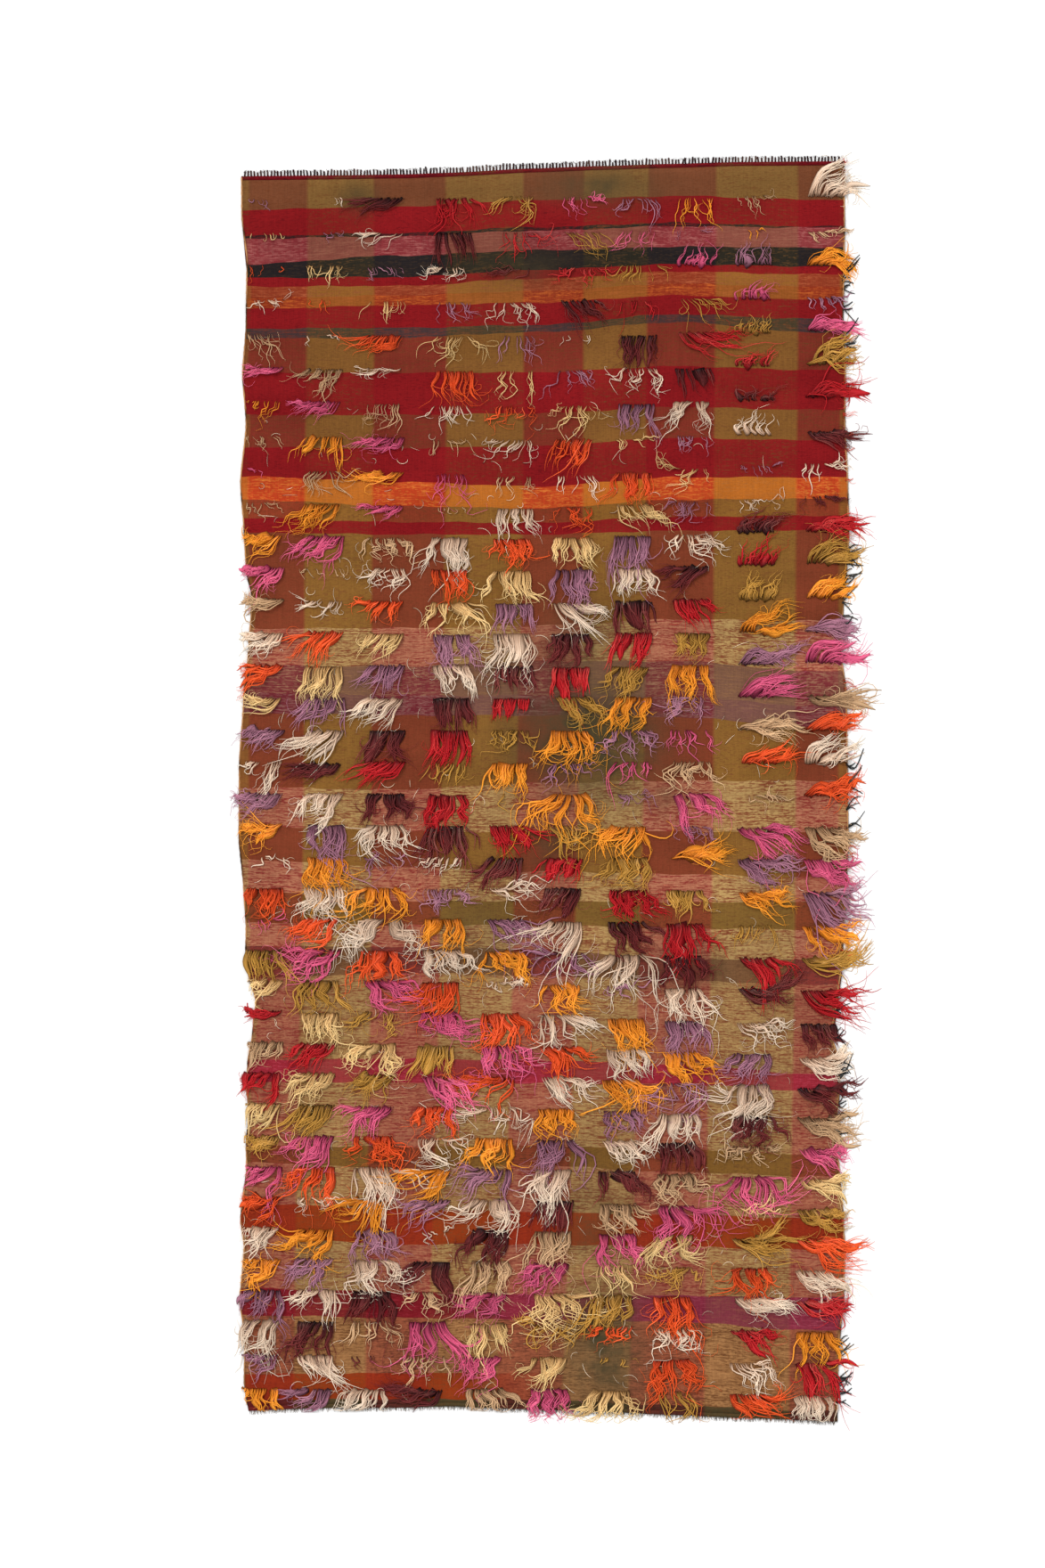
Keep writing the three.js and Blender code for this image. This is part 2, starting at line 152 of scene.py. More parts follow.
STATIONS = (-0.750, -0.356, -0.022, 0.335, 0.658)
TURN_WIDTH = 0.16
STRIPES = [
    Stripe(Weft.FIRST_OLIVE, (1451, 1460, 1475, 1486, 1477)),
    Stripe(Weft.RED, (1386, 1393, 1408, 1419, 1410)),
    Stripe(Weft.BLACK_LINE, (1379, 1385, 1399, 1410, 1407)),
    Stripe(Weft.PINK, (1315, 1337, 1350, 1359, 1357)),
    Stripe(Weft.BLACK, (1281, 1283, 1301, 1315, 1310)),
    Stripe(Weft.RED, (1259, 1261, 1279, 1297, 1290)),
    Stripe(Weft.OCHRE, (1230, 1237, 1248, 1266, 1259)),
    Stripe(Weft.OCHRE_BROWN, (1203, 1212, 1219, 1237, 1228)),
    Stripe(Weft.RED, (1154, 1156, 1163, 1190, 1179)),
    Stripe(Weft.GREY_GREEN, (1129, 1132, 1145, 1170, 1145)),
    Stripe(Weft.TOP_OLIVE, (1043, 1043, 1045, 1060, 1051)),
    Stripe(Weft.RED, (938, 938, 942, 958, 951)),
    Stripe(Weft.TOP_OLIVE, (857, 855, 860, 880, 875)),
    Stripe(Weft.RED, (784, 770, 759, 782, 782)),
    Stripe(Weft.ORANGE, (726, 710, 704, 726, 728)),
    Stripe(Weft.OLIVE_BROWN, (681, 670, 668, 683, 686)),
    Stripe(Weft.RED, (643, 639, 639, 648, 650)),
    Stripe(Weft.OLIVE, (403, 405, 411, 427, 423)),
    Stripe(Weft.MELANGE, (311, 309, 322, 322, 298)),
    Stripe(Weft.MAUVE, (242, 235, 237, 233, 211)),
    Stripe(Weft.PURPLE, (193, 186, 186, 182, 157)),
    Stripe(Weft.OLIVE, (6, 1, 17, 23, 23)),
    Stripe(Weft.MELANGE, (-90, -104, -106, -104, -106)),
    Stripe(Weft.OLIVE, (-175, -193, -204, -211, -220)),
    Stripe(Weft.MELANGE, (-255, -278, -278, -282, -280)),
    Stripe(Weft.DARK_OLIVE, (-333, -338, -338, -347, -349)),
    Stripe(Weft.MELANGE, (-391, -394, -398, -425, -425)),
    Stripe(Weft.GREY_MAUVE, (-472, -458, -465, -478, -487)),
    Stripe(Weft.BEIGE, (-677, -672, -677, -688, -710)),
    Stripe(Weft.CRIMSON, (-730, -733, -733, -737, -753)),
    Stripe(Weft.BEIGE, (-891, -893, -891, -900, -913)),
    Stripe(Weft.DARK_BROWN, (-933, -947, -940, -956, -967)),
    Stripe(Weft.BEIGE, (-1034, -1049, -1056, -1063, -1072)),
    Stripe(Weft.RUST, (-1112, -1138, -1138, -1143, -1150)),
    Stripe(Weft.BEIGE, (-1248, -1257, -1263, -1266, -1270)),
    Stripe(Weft.DEEP_RED, (-1315, -1321, -1326, -1332, -1352), Weft.PLUM, 0.45),
    Stripe(Weft.STREAKED, (-1462, -1460, -1460, -1466, -1480)),
    Stripe(Weft.RUST, (-1526, -1524, -1526, -1540, -1553), Weft.STREAKED, 0.48),
]

# The warp stripes from left to right: where each ends at the top and bottom, in metres, and if it is red
WARPS = [
    (-0.738, -0.742, 0.35), (-0.592, -0.628, 1.0), (-0.425, -0.445, 0.0), (-0.243, -0.289, 1.0),
    (-0.048, -0.118, 0.0), (0.103, 0.045, 1.0), (0.262, 0.210, 0.0), (0.431, 0.400, 1.0),
    (0.636, 0.614, 0.0), (0.741, 0.735, 1.0), (0.750, 0.750, 0.3),
]
CELL = 0.016


@dataclass(frozen=True)
class Stain:
    """A soft dark stain: its middle, half its width and height, in metres, and how deep it is."""

    across: float
    up: float
    wide: float
    tall: float
    depth: float


STAINS = [
    Stain(0.13, 1.51, 0.16, 0.05, 0.75),
    Stain(-0.46, 1.48, 0.05, 0.04, 0.7),
    Stain(-0.05, 1.30, 0.12, 0.06, 0.4),
    Stain(0.08, 0.36, 0.13, 0.10, 0.6),
    Stain(0.11, 0.13, 0.19, 0.17, 1.15),
    Stain(0.30, -0.02, 0.05, 0.06, 0.5),
    Stain(0.02, -0.14, 0.07, 0.09, 0.65),
    Stain(0.36, -0.45, 0.12, 0.06, 0.5),
    Stain(-0.16, -0.36, 0.10, 0.10, 0.35),
    Stain(0.13, -1.10, 0.08, 0.12, 0.5),
    Stain(0.15, -1.40, 0.10, 0.18, 1.0),
]


@dataclass(frozen=True)
class YarnLook:
    """The colours of one yarn at its root and its tip, from 0 to 255, and how much its locks differ."""

    root: Colour
    tip: Colour
    spread: float


class Yarn(Enum):
    """The dyed mohair of the tufts."""

    # Each root colour is darker than its tip: painted shade among the locks crowded at their knots
    WHITE = YarnLook((192, 144, 110), (251, 235, 213), 0.16)
    BEIGE = YarnLook((134, 90, 56), (232, 194, 150), 0.2)
    PALE_YELLOW = YarnLook((178, 122, 62), (254, 224, 160), 0.2)
    GOLD = YarnLook((136, 92, 32), (214, 162, 72), 0.22)
    MARIGOLD = YarnLook((210, 106, 18), (255, 174, 52), 0.2)
    TANGERINE = YarnLook((194, 50, 16), (252, 104, 44), 0.22)
    RED = YarnLook((140, 13, 21), (212, 34, 42), 0.24)
    MAROON = YarnLook((48, 17, 20), (130, 46, 46), 0.32)
    LILAC = YarnLook((106, 56, 72), (192, 134, 156), 0.2)
    PINK = YarnLook((158, 34, 72), (246, 114, 156), 0.22)


@dataclass(frozen=True)
class Column:
    """One column of tufts: its middle at the top, middle and bottom rows, in metres."""

    top: float
    middle: float
    bottom: float


COLUMNS = [
    Column(-0.697, -0.695, -0.706),
    Column(-0.550, -0.544, -0.575),
    Column(-0.392, -0.392, -0.439),
    Column(-0.222, -0.236, -0.294),
    Column(-0.066, -0.080, -0.149),
    Column(0.094, 0.065, 0.012),
    Column(0.241, 0.219, 0.172),
    Column(0.380, 0.366, 0.317),
    Column(0.525, 0.536, 0.509),
    Column(0.703, 0.699, 0.670),
]
MIDDLE_ROW = 17


@dataclass(frozen=True)
class LieLook:
    """How a tuft lies: its lean from straight down towards the right and its fan, in degrees, its length in
    metres, how many locks it has, how much they curl, how far it is felted along its length, how much shorter
    its leading knots are and how closely its clumps are drawn together."""

    lean: float
    fan: float
    length: float
    locks: int
    curl: float = 1.0
    felt: float = 0.0
    taper: float = 0.0
    gather: float = 0.75


class Lie(Enum):
    """The ways in which the tufts lie, each with the letter that stands for it in the chart."""

    GONE = (".", LieLook(20, 120, 0.030, 5, 2.0))
    WISPS = ("-", LieLook(60, 120, 0.040, 12, 1.8))
    THIN = ("t", LieLook(0, 40, 0.066, 15, 1.4))
    THIN_LEFT = ("v", LieLook(-44, 40, 0.078, 15, 1.4, 0.0, 0.3))
    THIN_RIGHT = ("w", LieLook(48, 40, 0.092, 16, 1.4, 0.0, 0.3))
    CURLS = ("c", LieLook(0, 96, 0.070, 20, 2.1))
    HANGING = ("d", LieLook(0, 16, 0.086, 29, 1.2, 0.75))
    LONG = ("D", LieLook(2, 30, 0.114, 31, 1.2, 0.55))
    FELTED = ("b", LieLook(0, 8, 0.076, 30, 0.7, 1.0, 0.0, 0.3))
    SPREAD = ("s", LieLook(2, 80, 0.098, 31, 1.6, 0.5))
    LEFT = ("l", LieLook(-44, 26, 0.102, 29, 1.1, 0.75, 0.3, 0.6))
    FAR_LEFT = ("L", LieLook(-76, 20, 0.104, 34, 0.9, 0.95, 0.3, 0.4))
    RIGHT = ("r", LieLook(42, 26, 0.104, 29, 1.1, 0.75, 0.3, 0.6))
    FAR_RIGHT = ("R", LieLook(76, 26, 0.134, 38, 0.9, 0.95, 0.3, 0.35))
    UP = ("u", LieLook(166, 50, 0.070, 20, 1.3, 0.3))
    UP_RIGHT = ("U", LieLook(108, 28, 0.124, 38, 0.9, 0.95, 0.35, 0.35))


LIE_OF = {lie.value[0]: lie.value[1] for lie in Lie}

# How each tuft lies, from the top row down and from the left column to the right
LIES = [
    "..Lsccct-U", "..vbcwt..-", ".t-cvccuuU", "-.ttcrtwu-", "w.lct.bRuU", "LlvdttcbuU",
    "vLccccdsuU", "-lL-cl-tuR", ".cLtttdc--", "-lL.dcrc--", "LlcddddcuU", "L.cddddLuU",
    "LvlsdrbruU", "LlldDsbdUU", "LlldbbdDUU", "LllbbrDcUR", "LlsDcsctUU", "vLLtd-tcUU",
    "Llsd.s-r-U", "ldsDrws-RR", ".D-vlbdURR", "dDscwbddRR", ".lsdrsrrtR", "lldddcsrrR",
    "LdrD-s-sRR", "LdcsDsrdwr", "llsbsrrrdR", "lllrlrscsR", "llldcdrDsR", "llscldrbcR",
    "llDllddssR", "l-llsbdswR", "lld.lddsRR", "llsldltcsR", "lldclsdsRR", "lltDdctcrd",
    "ld.tdD.dwr", "dllLdDDtrD",
]

# Height of the line of knots of some rows: (row, left, middle, right), in metres
ROW_LINES = [
    (0, 1.478, 1.482, 1.482), (8, 0.802, 0.784, 0.817), (17, 0.068, 0.068, 0.068),
    (26, -0.632, -0.643, -0.672), (35, -1.328, -1.337, -1.357), (37, -1.500, -1.502, -1.520),
]

# The nested chevrons: the rows to a turning line, how far in the first one starts, and the rows where
# the yarns inside and outside of them change
CHEVRON_TURN = 9
CHEVRON_START = 10
INNER_CHANGES = (9, 27)
OUTER_CHANGE = 18

# What turns a row, a column and a salt into a repeatable number
UNEVEN_STEPS = (12.9898, 78.233, 37.719)
UNEVEN_SPREAD = 43758.5453

# How far the woven map goes past the cloth, across and up, in metres
MAP_MARGINS = (0.02, 0.03)


def yarn_at(row: int, column: int) -> Yarn:
    """The yarn of one tuft, by the nested chevrons of the design.

    Args:
        row: The row, from the top.
        column: The column, from the left.

    Returns:
        The yarn.
    """
    y = Yarn
    inner_top = [y.MAROON, y.RED, y.GOLD, y.PINK, y.LILAC, y.MARIGOLD, y.BEIGE, y.WHITE, y.BEIGE]
    inner_middle = [y.MAROON, y.RED, y.GOLD, y.MARIGOLD, y.LILAC, y.PINK, y.BEIGE, y.TANGERINE, y.WHITE]
    inner_bottom = [y.MAROON, y.BEIGE, y.PINK, y.PALE_YELLOW, y.GOLD, y.TANGERINE, y.WHITE, y.RED, y.MARIGOLD]
    outer_top = [y.WHITE, y.LILAC, y.PALE_YELLOW, y.TANGERINE, y.WHITE, y.BEIGE, y.PINK, y.MARIGOLD,
                 y.BEIGE, y.PINK]
    outer_bottom = [y.WHITE, y.LILAC, y.MARIGOLD, y.WHITE, y.TANGERINE, y.PINK, y.GOLD, y.PALE_YELLOW,
                    y.RED, y.BEIGE]
    step = column - abs((row + CHEVRON_START) % (2 * CHEVRON_TURN) - CHEVRON_TURN)
    if step > 0:
        first, second = INNER_CHANGES
        inner = inner_top if row < first else inner_middle if row < second else inner_bottom
        return inner[step - 1]
    outer = outer_top if row < OUTER_CHANGE else outer_bottom
    return outer[-step]


def uneven(row: float, column: float, salt: float) -> float:
    """A repeatable number from -1 to 1.

    Args:
        row: A first number that picks it.
        column: A second number that picks it.
        salt: A third number that picks it.

    Returns:
        The number.
    """
    by_row, by_column, by_salt = UNEVEN_STEPS
    wave = math.sin(row * by_row + column * by_column + salt * by_salt) * UNEVEN_SPREAD
    return 2 * (wave - math.floor(wave)) - 1


def smooth_table(rows: list[tuple], column: int, at: np.ndarray) -> np.ndarray:
    """One column of a table between its rows, with a soft turn at each row.

    Args:
        rows: The table, with its places in the first column.
        column: The column that is read.
        at: The places where it is wanted.

    Returns:
        The values there.
    """
    ordered = sorted(rows)
    places = np.array([row[0] for row in ordered], float)
    values = np.array([row[column] for row in ordered], float)
    at = np.clip(np.asarray(at, float), places[0], places[-1])
    k = np.clip(np.searchsorted(places, at) - 1, 0, len(places) - 2)
    share = (at - places[k]) / (places[k + 1] - places[k])
    share = 0.5 * share + 0.5 * share * share * (3 - 2 * share)
    return values[k] * (1 - share) + values[k + 1] * share


class Plaid:
    """Where the threads of the cloth run: edges, weft lines and warp lines, in metres."""

    def left_edge(self, y: np.ndarray) -> np.ndarray:
        """The left selvedge at a height."""
        return -HALF_WIDTH - smooth_table(SELVEDGES, 1, np.asarray(y) / MILLIMETRE) * MILLIMETRE

    def right_edge(self, y: np.ndarray) -> np.ndarray:
        """The right selvedge at a height."""
        return HALF_WIDTH + smooth_table(SELVEDGES, 2, np.asarray(y) / MILLIMETRE) * MILLIMETRE

    def top_edge(self, x: np.ndarray) -> np.ndarray:
        """The top end of the weave at a place across."""
        return HALF_LENGTH + smooth_table(ENDS, 1, np.asarray(x) / MILLIMETRE) * MILLIMETRE

    def bottom_edge(self, x: np.ndarray) -> np.ndarray:
        """The bottom end of the weave at a place across."""
        return -HALF_LENGTH - smooth_table(ENDS, 2, np.asarray(x) / MILLIMETRE) * MILLIMETRE

    def weft_line(self, k: int, x: np.ndarray) -> np.ndarray:
        """The height of the line under one stripe, or of the cloth's ends.

        Args:
            k: 0 for the upper edge, then one for each stripe, then the lower edge.
            x: Places across.

        Returns:
            The heights.
        """
        if k == 0:
            return self.top_edge(x) - STRIP_WIDTH - PART_GAP
        if k > len(STRIPES):
            return self.bottom_edge(x) + STRIP_WIDTH + PART_GAP
        places = np.array(STATIONS)
        heights = np.array(STRIPES[k - 1].lower) * MILLIMETRE
        at = np.clip(x, places[0], places[-1])
        j = np.clip(np.searchsorted(places, at) - 1, 0, len(places) - 2)
        share = (at - places[j]) / (places[j + 1] - places[j])
        share = share * share * (3 - 2 * share)
        wander = 0.0012 * np.sin(x * 31 + k * 2.1) + 0.0009 * np.sin(x * 67 + k * 5.3)
        return heights[j] * (1 - share) + heights[j + 1] * share + wander

    def warp_line(self, k: int, y: np.ndarray) -> np.ndarray:
        """The place of the line to the right of one warp stripe, or of the left selvedge for 0.

        Args:
            k: 0 for the left selvedge, then one for each stripe.
            y: Heights.

        Returns:
            The places across.
        """
        if k == 0:
            return self.left_edge(y)
        if k == len(WARPS):
            return self.right_edge(y)
        down = np.clip((HALF_LENGTH - y) / (2 * HALF_LENGTH), 0, 1)
        top, bottom, _ = WARPS[k - 1]
        x = top + (bottom - top) * down * down + 0.002 * np.sin(y * 4 + k)
        if k == 1:
            return np.maximum(x, self.left_edge(y) + 0.010)
        if k == len(WARPS) - 1:
            return np.minimum(x, self.right_edge(y) - 0.008)
        return x

    def span(self, y: float, inset: float) -> tuple[float, float]:
        """Both selvedges at one height, each a little way in."""
        return float(self.left_edge(y)) + inset, float(self.right_edge(y)) - inset

    def rise(self, x: np.ndarray, y: np.ndarray) -> np.ndarray:
        """How far the cloth is lifted off the floor, as soft ripples that grow at the selvedges.

        Args:
            x: Places across.
            y: Heights.

        Returns:
            The lift there.
        """
        near = np.minimum(np.abs(x - self.left_edge(y)), np.abs(x - self.right_edge(y)))
        edge = np.exp(-near / 0.05)
        soft = np.sin(x * 19 + 3 * np.sin(y * 5.3)) * np.sin(y * 23 + 2 * np.sin(x * 7.1))
        fine = np.sin(x * 53 + y * 11) * np.sin(y * 61 - x * 17)
        return LEAST_LIFT + RIPPLE * (1 + 0.55 * soft + 0.3 * fine + edge * (0.8 + 0.8 * np.sin(y * 37)))

    def resting_height(self, x: np.ndarray, y: np.ndarray) -> np.ndarray:
        """The height of what a lock lies on: the cloth, or the floor past its edges.

        Args:
            x: Places across.
            y: Heights.

        Returns:
            How high it is there.
        """
        outside = np.maximum(x - self.right_edge(y), self.left_edge(y) - x)
        outside = np.maximum(outside, np.maximum(self.bottom_edge(x) - y, y - self.top_edge(x)))
        on_cloth = 1 - np.clip(outside / 0.010, 0, 1)
        return on_cloth * (CLOTH_THICKNESS + self.rise(x, y))


PLAID = Plaid()


def mesh_object(name: str, points: np.ndarray, faces: np.ndarray) -> bpy.types.Object:
    """A mesh object from arrays, at the origin.

    Args:
        name: The name of the piece.
        points: Corners, one row each.
        faces: Corner numbers, one row for each face.

    Returns:
        The object, in the scene.
    """
    mesh = bpy.data.meshes.new(name)
    count, sides = faces.shape
    mesh.vertices.add(len(points))
    mesh.vertices.foreach_set("co", np.ascontiguousarray(points, np.float32).ravel())
    mesh.loops.add(count * sides)
    mesh.loops.foreach_set("vertex_index", np.ascontiguousarray(faces, np.int32).ravel())
    mesh.polygons.add(count)
    mesh.polygons.foreach_set("loop_start", np.arange(0, count * sides, sides, dtype=np.int32))
    mesh.polygons.foreach_set("use_smooth", np.ones(count, bool))
    mesh.update(calc_edges=True)
    mesh.validate()
    obj = bpy.data.objects.new(name, mesh)
    bpy.context.scene.collection.objects.link(obj)
    return obj


def add_attribute(obj: bpy.types.Object, name: str, values: np.ndarray, domain: str = "POINT") -> None:
    """Writes a number or a colour for each point or corner.

    Args:
        obj: The piece.
        name: The name of the attribute.
        values: One number, or one row of four, for each point or corner.
        domain: POINT or CORNER.
    """
    values = np.ascontiguousarray(values, np.float32)
    kind, slot = ("FLOAT", "value") if values.ndim == 1 else ("FLOAT_COLOR", "color")
    layer = obj.data.attributes.new(name, kind, domain)
    layer.data.foreach_set(slot, values.ravel())


class Nodes:
    """A short way to build a node tree."""

    def __init__(self, tree: bpy.types.NodeTree) -> None:
        """Starts from an empty tree."""
        self.tree = tree
        tree.nodes.clear()

    def add(self, kind: str, inputs: dict | None = None, **settings: object) -> bpy.types.Node:
        """Adds a node.

        Args:
            kind: The node's type name.
            inputs: Sockets by name or number, each a value or an output to link.
            settings: Properties of the node.

        Returns:
            The node.
        """
        node = self.tree.nodes.new(kind)
        for key, value in settings.items():
            setattr(node, key, value)
        for key, value in (inputs or {}).items():
            socket = node.inputs[key]
            if isinstance(value, bpy.types.NodeSocket):
                self.tree.links.new(value, socket)
            else:
                socket.default_value = value
        return node

    def math(self, operation: str, first: object, second: object = 0.0, clamp: bool = False) -> object:
        """The output of a Math node.

        Args:
            operation: What it does.
            first: Its first value or link.
            second: Its second value or link.
            clamp: Whether the answer stays from 0 to 1.

        Returns:
            The output socket.
        """
        node = self.add("ShaderNodeMath", {0: first, 1: second}, operation=operation, use_clamp=clamp)
        return node.outputs[0]

    def plus(self, first: object, second: object, clamp: bool = False) -> object:
        """The sum of two values."""
        return self.math("ADD", first, second, clamp)

    def minus(self, first: object, second: object) -> object:
        """The first value less the second."""
        return self.math("SUBTRACT", first, second)

    def times(self, first: object, second: object, clamp: bool = False) -> object:
        """The product of two values."""
        return self.math("MULTIPLY", first, second, clamp)

    def swing(self, value: object, size: object) -> object:
        """A value from 0 to 1 as a swing of that size about nothing."""
        return self.times(self.minus(value, 0.5), size)

    def attribute(self, name: str) -> object:
        """The outputs of one attribute of the mesh."""
        return self.add("ShaderNodeAttribute", attribute_name=name).outputs

    def brightened(self, colour: object, gain: object) -> object:
        """A colour multiplied by one number."""
        gains = self.add("ShaderNodeCombineXYZ", {0: gain, 1: gain, 2: gain}).outputs[0]
        return self.mix(1.0, colour, gains, "MULTIPLY")

    def mix(self, share: object, first: object, second: object, blend: str = "MIX") -> object:
        """The output of a colour Mix node.

        Args:
            share: How much of the second.
            first: The first colour.
            second: The second colour.
            blend: The way they mix.

        Returns:
            The output socket.
        """
        node = self.add("ShaderNodeMix", {0: share}, data_type="RGBA", blend_type=blend)
        for socket, value in ((node.inputs[6], first), (node.inputs[7], second)):
            if isinstance(value, bpy.types.NodeSocket):
                self.tree.links.new(value, socket)
            else:
                socket.default_value = (*value, 1.0) if len(value) == 3 else value
        return node.outputs[2]

    def scaled(self, vector: object, scale: tuple[float, float, float]) -> object:
        """A vector multiplied by three numbers."""
        return self.add("ShaderNodeVectorMath", {0: vector, 1: scale}, operation="MULTIPLY").outputs[0]

    def noise(self, vector: object, scale: float, detail: float = 2.0, rough: float = 0.5) -> object:
        """A noise from 0 to 1.

        Args:
            vector: Where it is read.
            scale: How fine it is.
            detail: How many finer layers it has.
            rough: How strong they are.

        Returns:
            The output socket.
        """
        inputs = {"Vector": vector, "Scale": scale, "Detail": detail, "Roughness": rough}
        return self.add("ShaderNodeTexNoise", inputs).outputs["Fac"]


def new_group(name: str, inputs: dict[str, tuple], outputs: dict[str, str]) -> tuple[Nodes, object, object]:
    """An empty shader node group.

    Args:
        name: Its name.
        inputs: Socket kinds and first values by name.
        outputs: Socket kinds by name.

    Returns:
        Its nodes, its input node and its output node.
    """
    tree = bpy.data.node_groups.new(name, "ShaderNodeTree")
    nodes = Nodes(tree)
    for key, (kind, value) in inputs.items():
        socket = tree.interface.new_socket(name=key, in_out="INPUT", socket_type=kind)
        if value is not None:
            socket.default_value = value
    for key, kind in outputs.items():
        tree.interface.new_socket(name=key, in_out="OUTPUT", socket_type=kind)
    return nodes, nodes.add("NodeGroupInput"), nodes.add("NodeGroupOutput")


@dataclass(frozen=True)
class WeaveGroup:
    """The node group of a plain weave: the height of its threads, weft streaks, dashes, slubs and ribs."""

    name: str = "plain weave"
    warps: float = 440.0
    wefts: float = 1500.0
    dashes: float = 230.0
    streak_grid: tuple[float, float, float] = (32.0, 900.0, 1.0)
    slub_grid: tuple[float, float, float] = (190.0, 1100.0, 1.0)
    rib_grid: tuple[float, float, float] = (420.0, 40.0, 1.0)

    def ridges(self, n: Nodes, at: object) -> object:
        """Rounded ridges, one for each thread.

        Args:
            n: The nodes of the group.
            at: Where, counted in threads.

        Returns:
            Their height from 0 to 1.
        """
        wave = n.math("ABSOLUTE", n.math("SINE", n.times(at, math.pi)))
        return n.math("POWER", wave, 0.6)

    def build(self) -> bpy.types.NodeTree:
        """Builds the group.

        Returns:
            The node tree.
        """
        names = ("Height", "Dash", "Streak", "Slub", "Rib")
        n, enter, leave = new_group(self.name, {"UV": ("NodeSocketVector", None)},
                                    {key: "NodeSocketFloat" for key in names})
        uv = enter.outputs["UV"]
        place = n.add("ShaderNodeSeparateXYZ", {0: uv})
        across = n.times(place.outputs[0], self.warps)
        down = n.times(place.outputs[1], self.wefts)
        height = n.times(self.ridges(n, across), self.ridges(n, down))
        row = n.math("FLOOR", down)
        shift = n.add("ShaderNodeTexWhiteNoise", {"W": row}, noise_dimensions="1D").outputs["Value"]
        cell = n.times(place.outputs[0], self.dashes)
        cell = n.math("FLOOR", n.plus(cell, n.times(shift, 37.0)))
        cell_place = n.add("ShaderNodeCombineXYZ", {0: cell, 1: row}).outputs[0]
        dashes = n.add("ShaderNodeTexWhiteNoise", {"Vector": cell_place}, noise_dimensions="2D")
        dash = dashes.outputs["Value"]
        streak = n.noise(n.scaled(uv, self.streak_grid), 1.0, 3.0, 0.6)
        slub = n.noise(n.scaled(uv, self.slub_grid), 1.0, 2.0, 0.6)
        rib = n.noise(n.scaled(uv, self.rib_grid), 1.0, 2.0, 0.6)
        for key, value in zip(names, (height, dash, streak, slub, rib)):
            n.tree.links.new(value, leave.inputs[key])
        return n.tree


@dataclass(frozen=True)
class GroundFinish:
    """The finish of the woven ground: plaid, melange, abrash, stains and weave."""

    name: str
    weave: bpy.types.NodeTree
    dash_share: float = 0.42
    streak_share: float = 1.5
    streaks: float = 1.1
    slubs: float = 0.5
    ribs: float = 0.4
    abrash: float = 0.55
    wear: float = 0.4
    depth_of_dye: float = 0.8
    edge_darkening: float = 0.3
    weave_depth: float = 0.0005
    patches_grid: tuple[float, float, float] = (12.0, 70.0, 1.0)
    drifts_grid: tuple[float, float, float] = (7.0, 150.0, 1.0)
    bands_grid: tuple[float, float, float] = (3.0, 34.0, 1.0)
    worn_spots_grid: tuple[float, float, float] = (7.0, 13.0, 1.0)
    mottles_grid: tuple[float, float, float] = (26.0, 52.0, 1.0)
    murk: Colour = linear(66, 57, 38)

    def build(self) -> bpy.types.Material:
        """Builds the material.

        Returns:
            The material.
        """
        material = bpy.data.materials.new(self.name)
        material.use_nodes = True
        n = Nodes(material.node_tree)
        uv = n.add("ShaderNodeUVMap", uv_map="woven").outputs[0]
        threads = n.add("ShaderNodeGroup", {}, node_tree=self.weave)
        n.tree.links.new(uv, threads.inputs["UV"])
        thread = threads.outputs
        ground = n.attribute("ground")
        fleck = n.attribute("fleck")
        stain = n.attribute("stain")["Fac"]
        rim = n.attribute("rim")["Fac"]
        patchy = n.noise(n.scaled(uv, self.patches_grid), 1.0, 3.0)
        cut = n.math("GREATER_THAN", ground["Alpha"], thread["Dash"])
        dashes = n.times(cut, n.times(patchy, 2 * self.dash_share))
        line = n.plus(n.minus(thread["Streak"], 0.66), n.times(ground["Alpha"], 0.45))
        line = n.times(n.times(line, 9.0, clamp=True), patchy)
        flecked = n.plus(dashes, n.times(line, self.streak_share), clamp=True)
        colour = n.mix(flecked, ground["Color"], fleck["Color"])
        drift = n.noise(n.scaled(uv, self.drifts_grid), 1.0, 3.0, 0.6)
        bleed = n.times(n.minus(drift, 0.5), 2.4, clamp=True)
        colour = n.mix(n.times(bleed, fleck["Alpha"]), colour, fleck["Color"])
        broad = n.noise(n.scaled(uv, self.bands_grid), 1.0, 3.0)
        streak = n.times(n.swing(thread["Streak"], self.streaks), fleck["Alpha"])
        light = n.plus(streak, n.swing(broad, self.abrash))
        light = n.plus(light, n.swing(thread["Slub"], self.slubs))
        light = n.plus(light, n.swing(thread["Rib"], self.ribs))
        worn = n.noise(n.scaled(uv, self.worn_spots_grid), 1.0, 4.0, 0.6)
        light = n.plus(light, n.swing(worn, self.wear))
        # The ground is darker within a couple of millimetres of each selvedge
        dye = n.minus(self.depth_of_dye, n.times(rim, self.edge_darkening))
        gain = n.times(n.plus(light, 1.0), dye)
        colour = n.brightened(colour, gain)
        mottle = n.noise(n.scaled(uv, self.mottles_grid), 1.0, 4.0, 0.6)
        soiled = n.times(stain, n.times(mottle, 1.8), clamp=True)
        colour = n.mix(soiled, colour, self.murk)
        depth = n.plus(thread["Height"], n.times(thread["Slub"], 0.8))
        bump = n.add("ShaderNodeBump", {"Strength": 0.6, "Distance": self.weave_depth, "Height": depth})
        return finished(material, n, colour, bump, 0.95, 0.04)


def finished(material: bpy.types.Material, n: Nodes, colour: object, bump: bpy.types.Node,
             roughness: float, specular: float) -> bpy.types.Material:
    """Closes a material with its shader.

    Args:
        material: The material.
        n: Its nodes.
        colour: Its colour.
        bump: Its relief.
        roughness: How matt it is.
        specular: How strongly it reflects.

    Returns:
        The material.
    """
    inputs = {"Base Color": colour, "Roughness": roughness, "Specular IOR Level": specular,
              "Normal": bump.outputs[0]}
    shader = n.add("ShaderNodeBsdfPrincipled", inputs)
    n.tree.links.new(shader.outputs[0], n.add("ShaderNodeOutputMaterial").inputs[0])
    return material


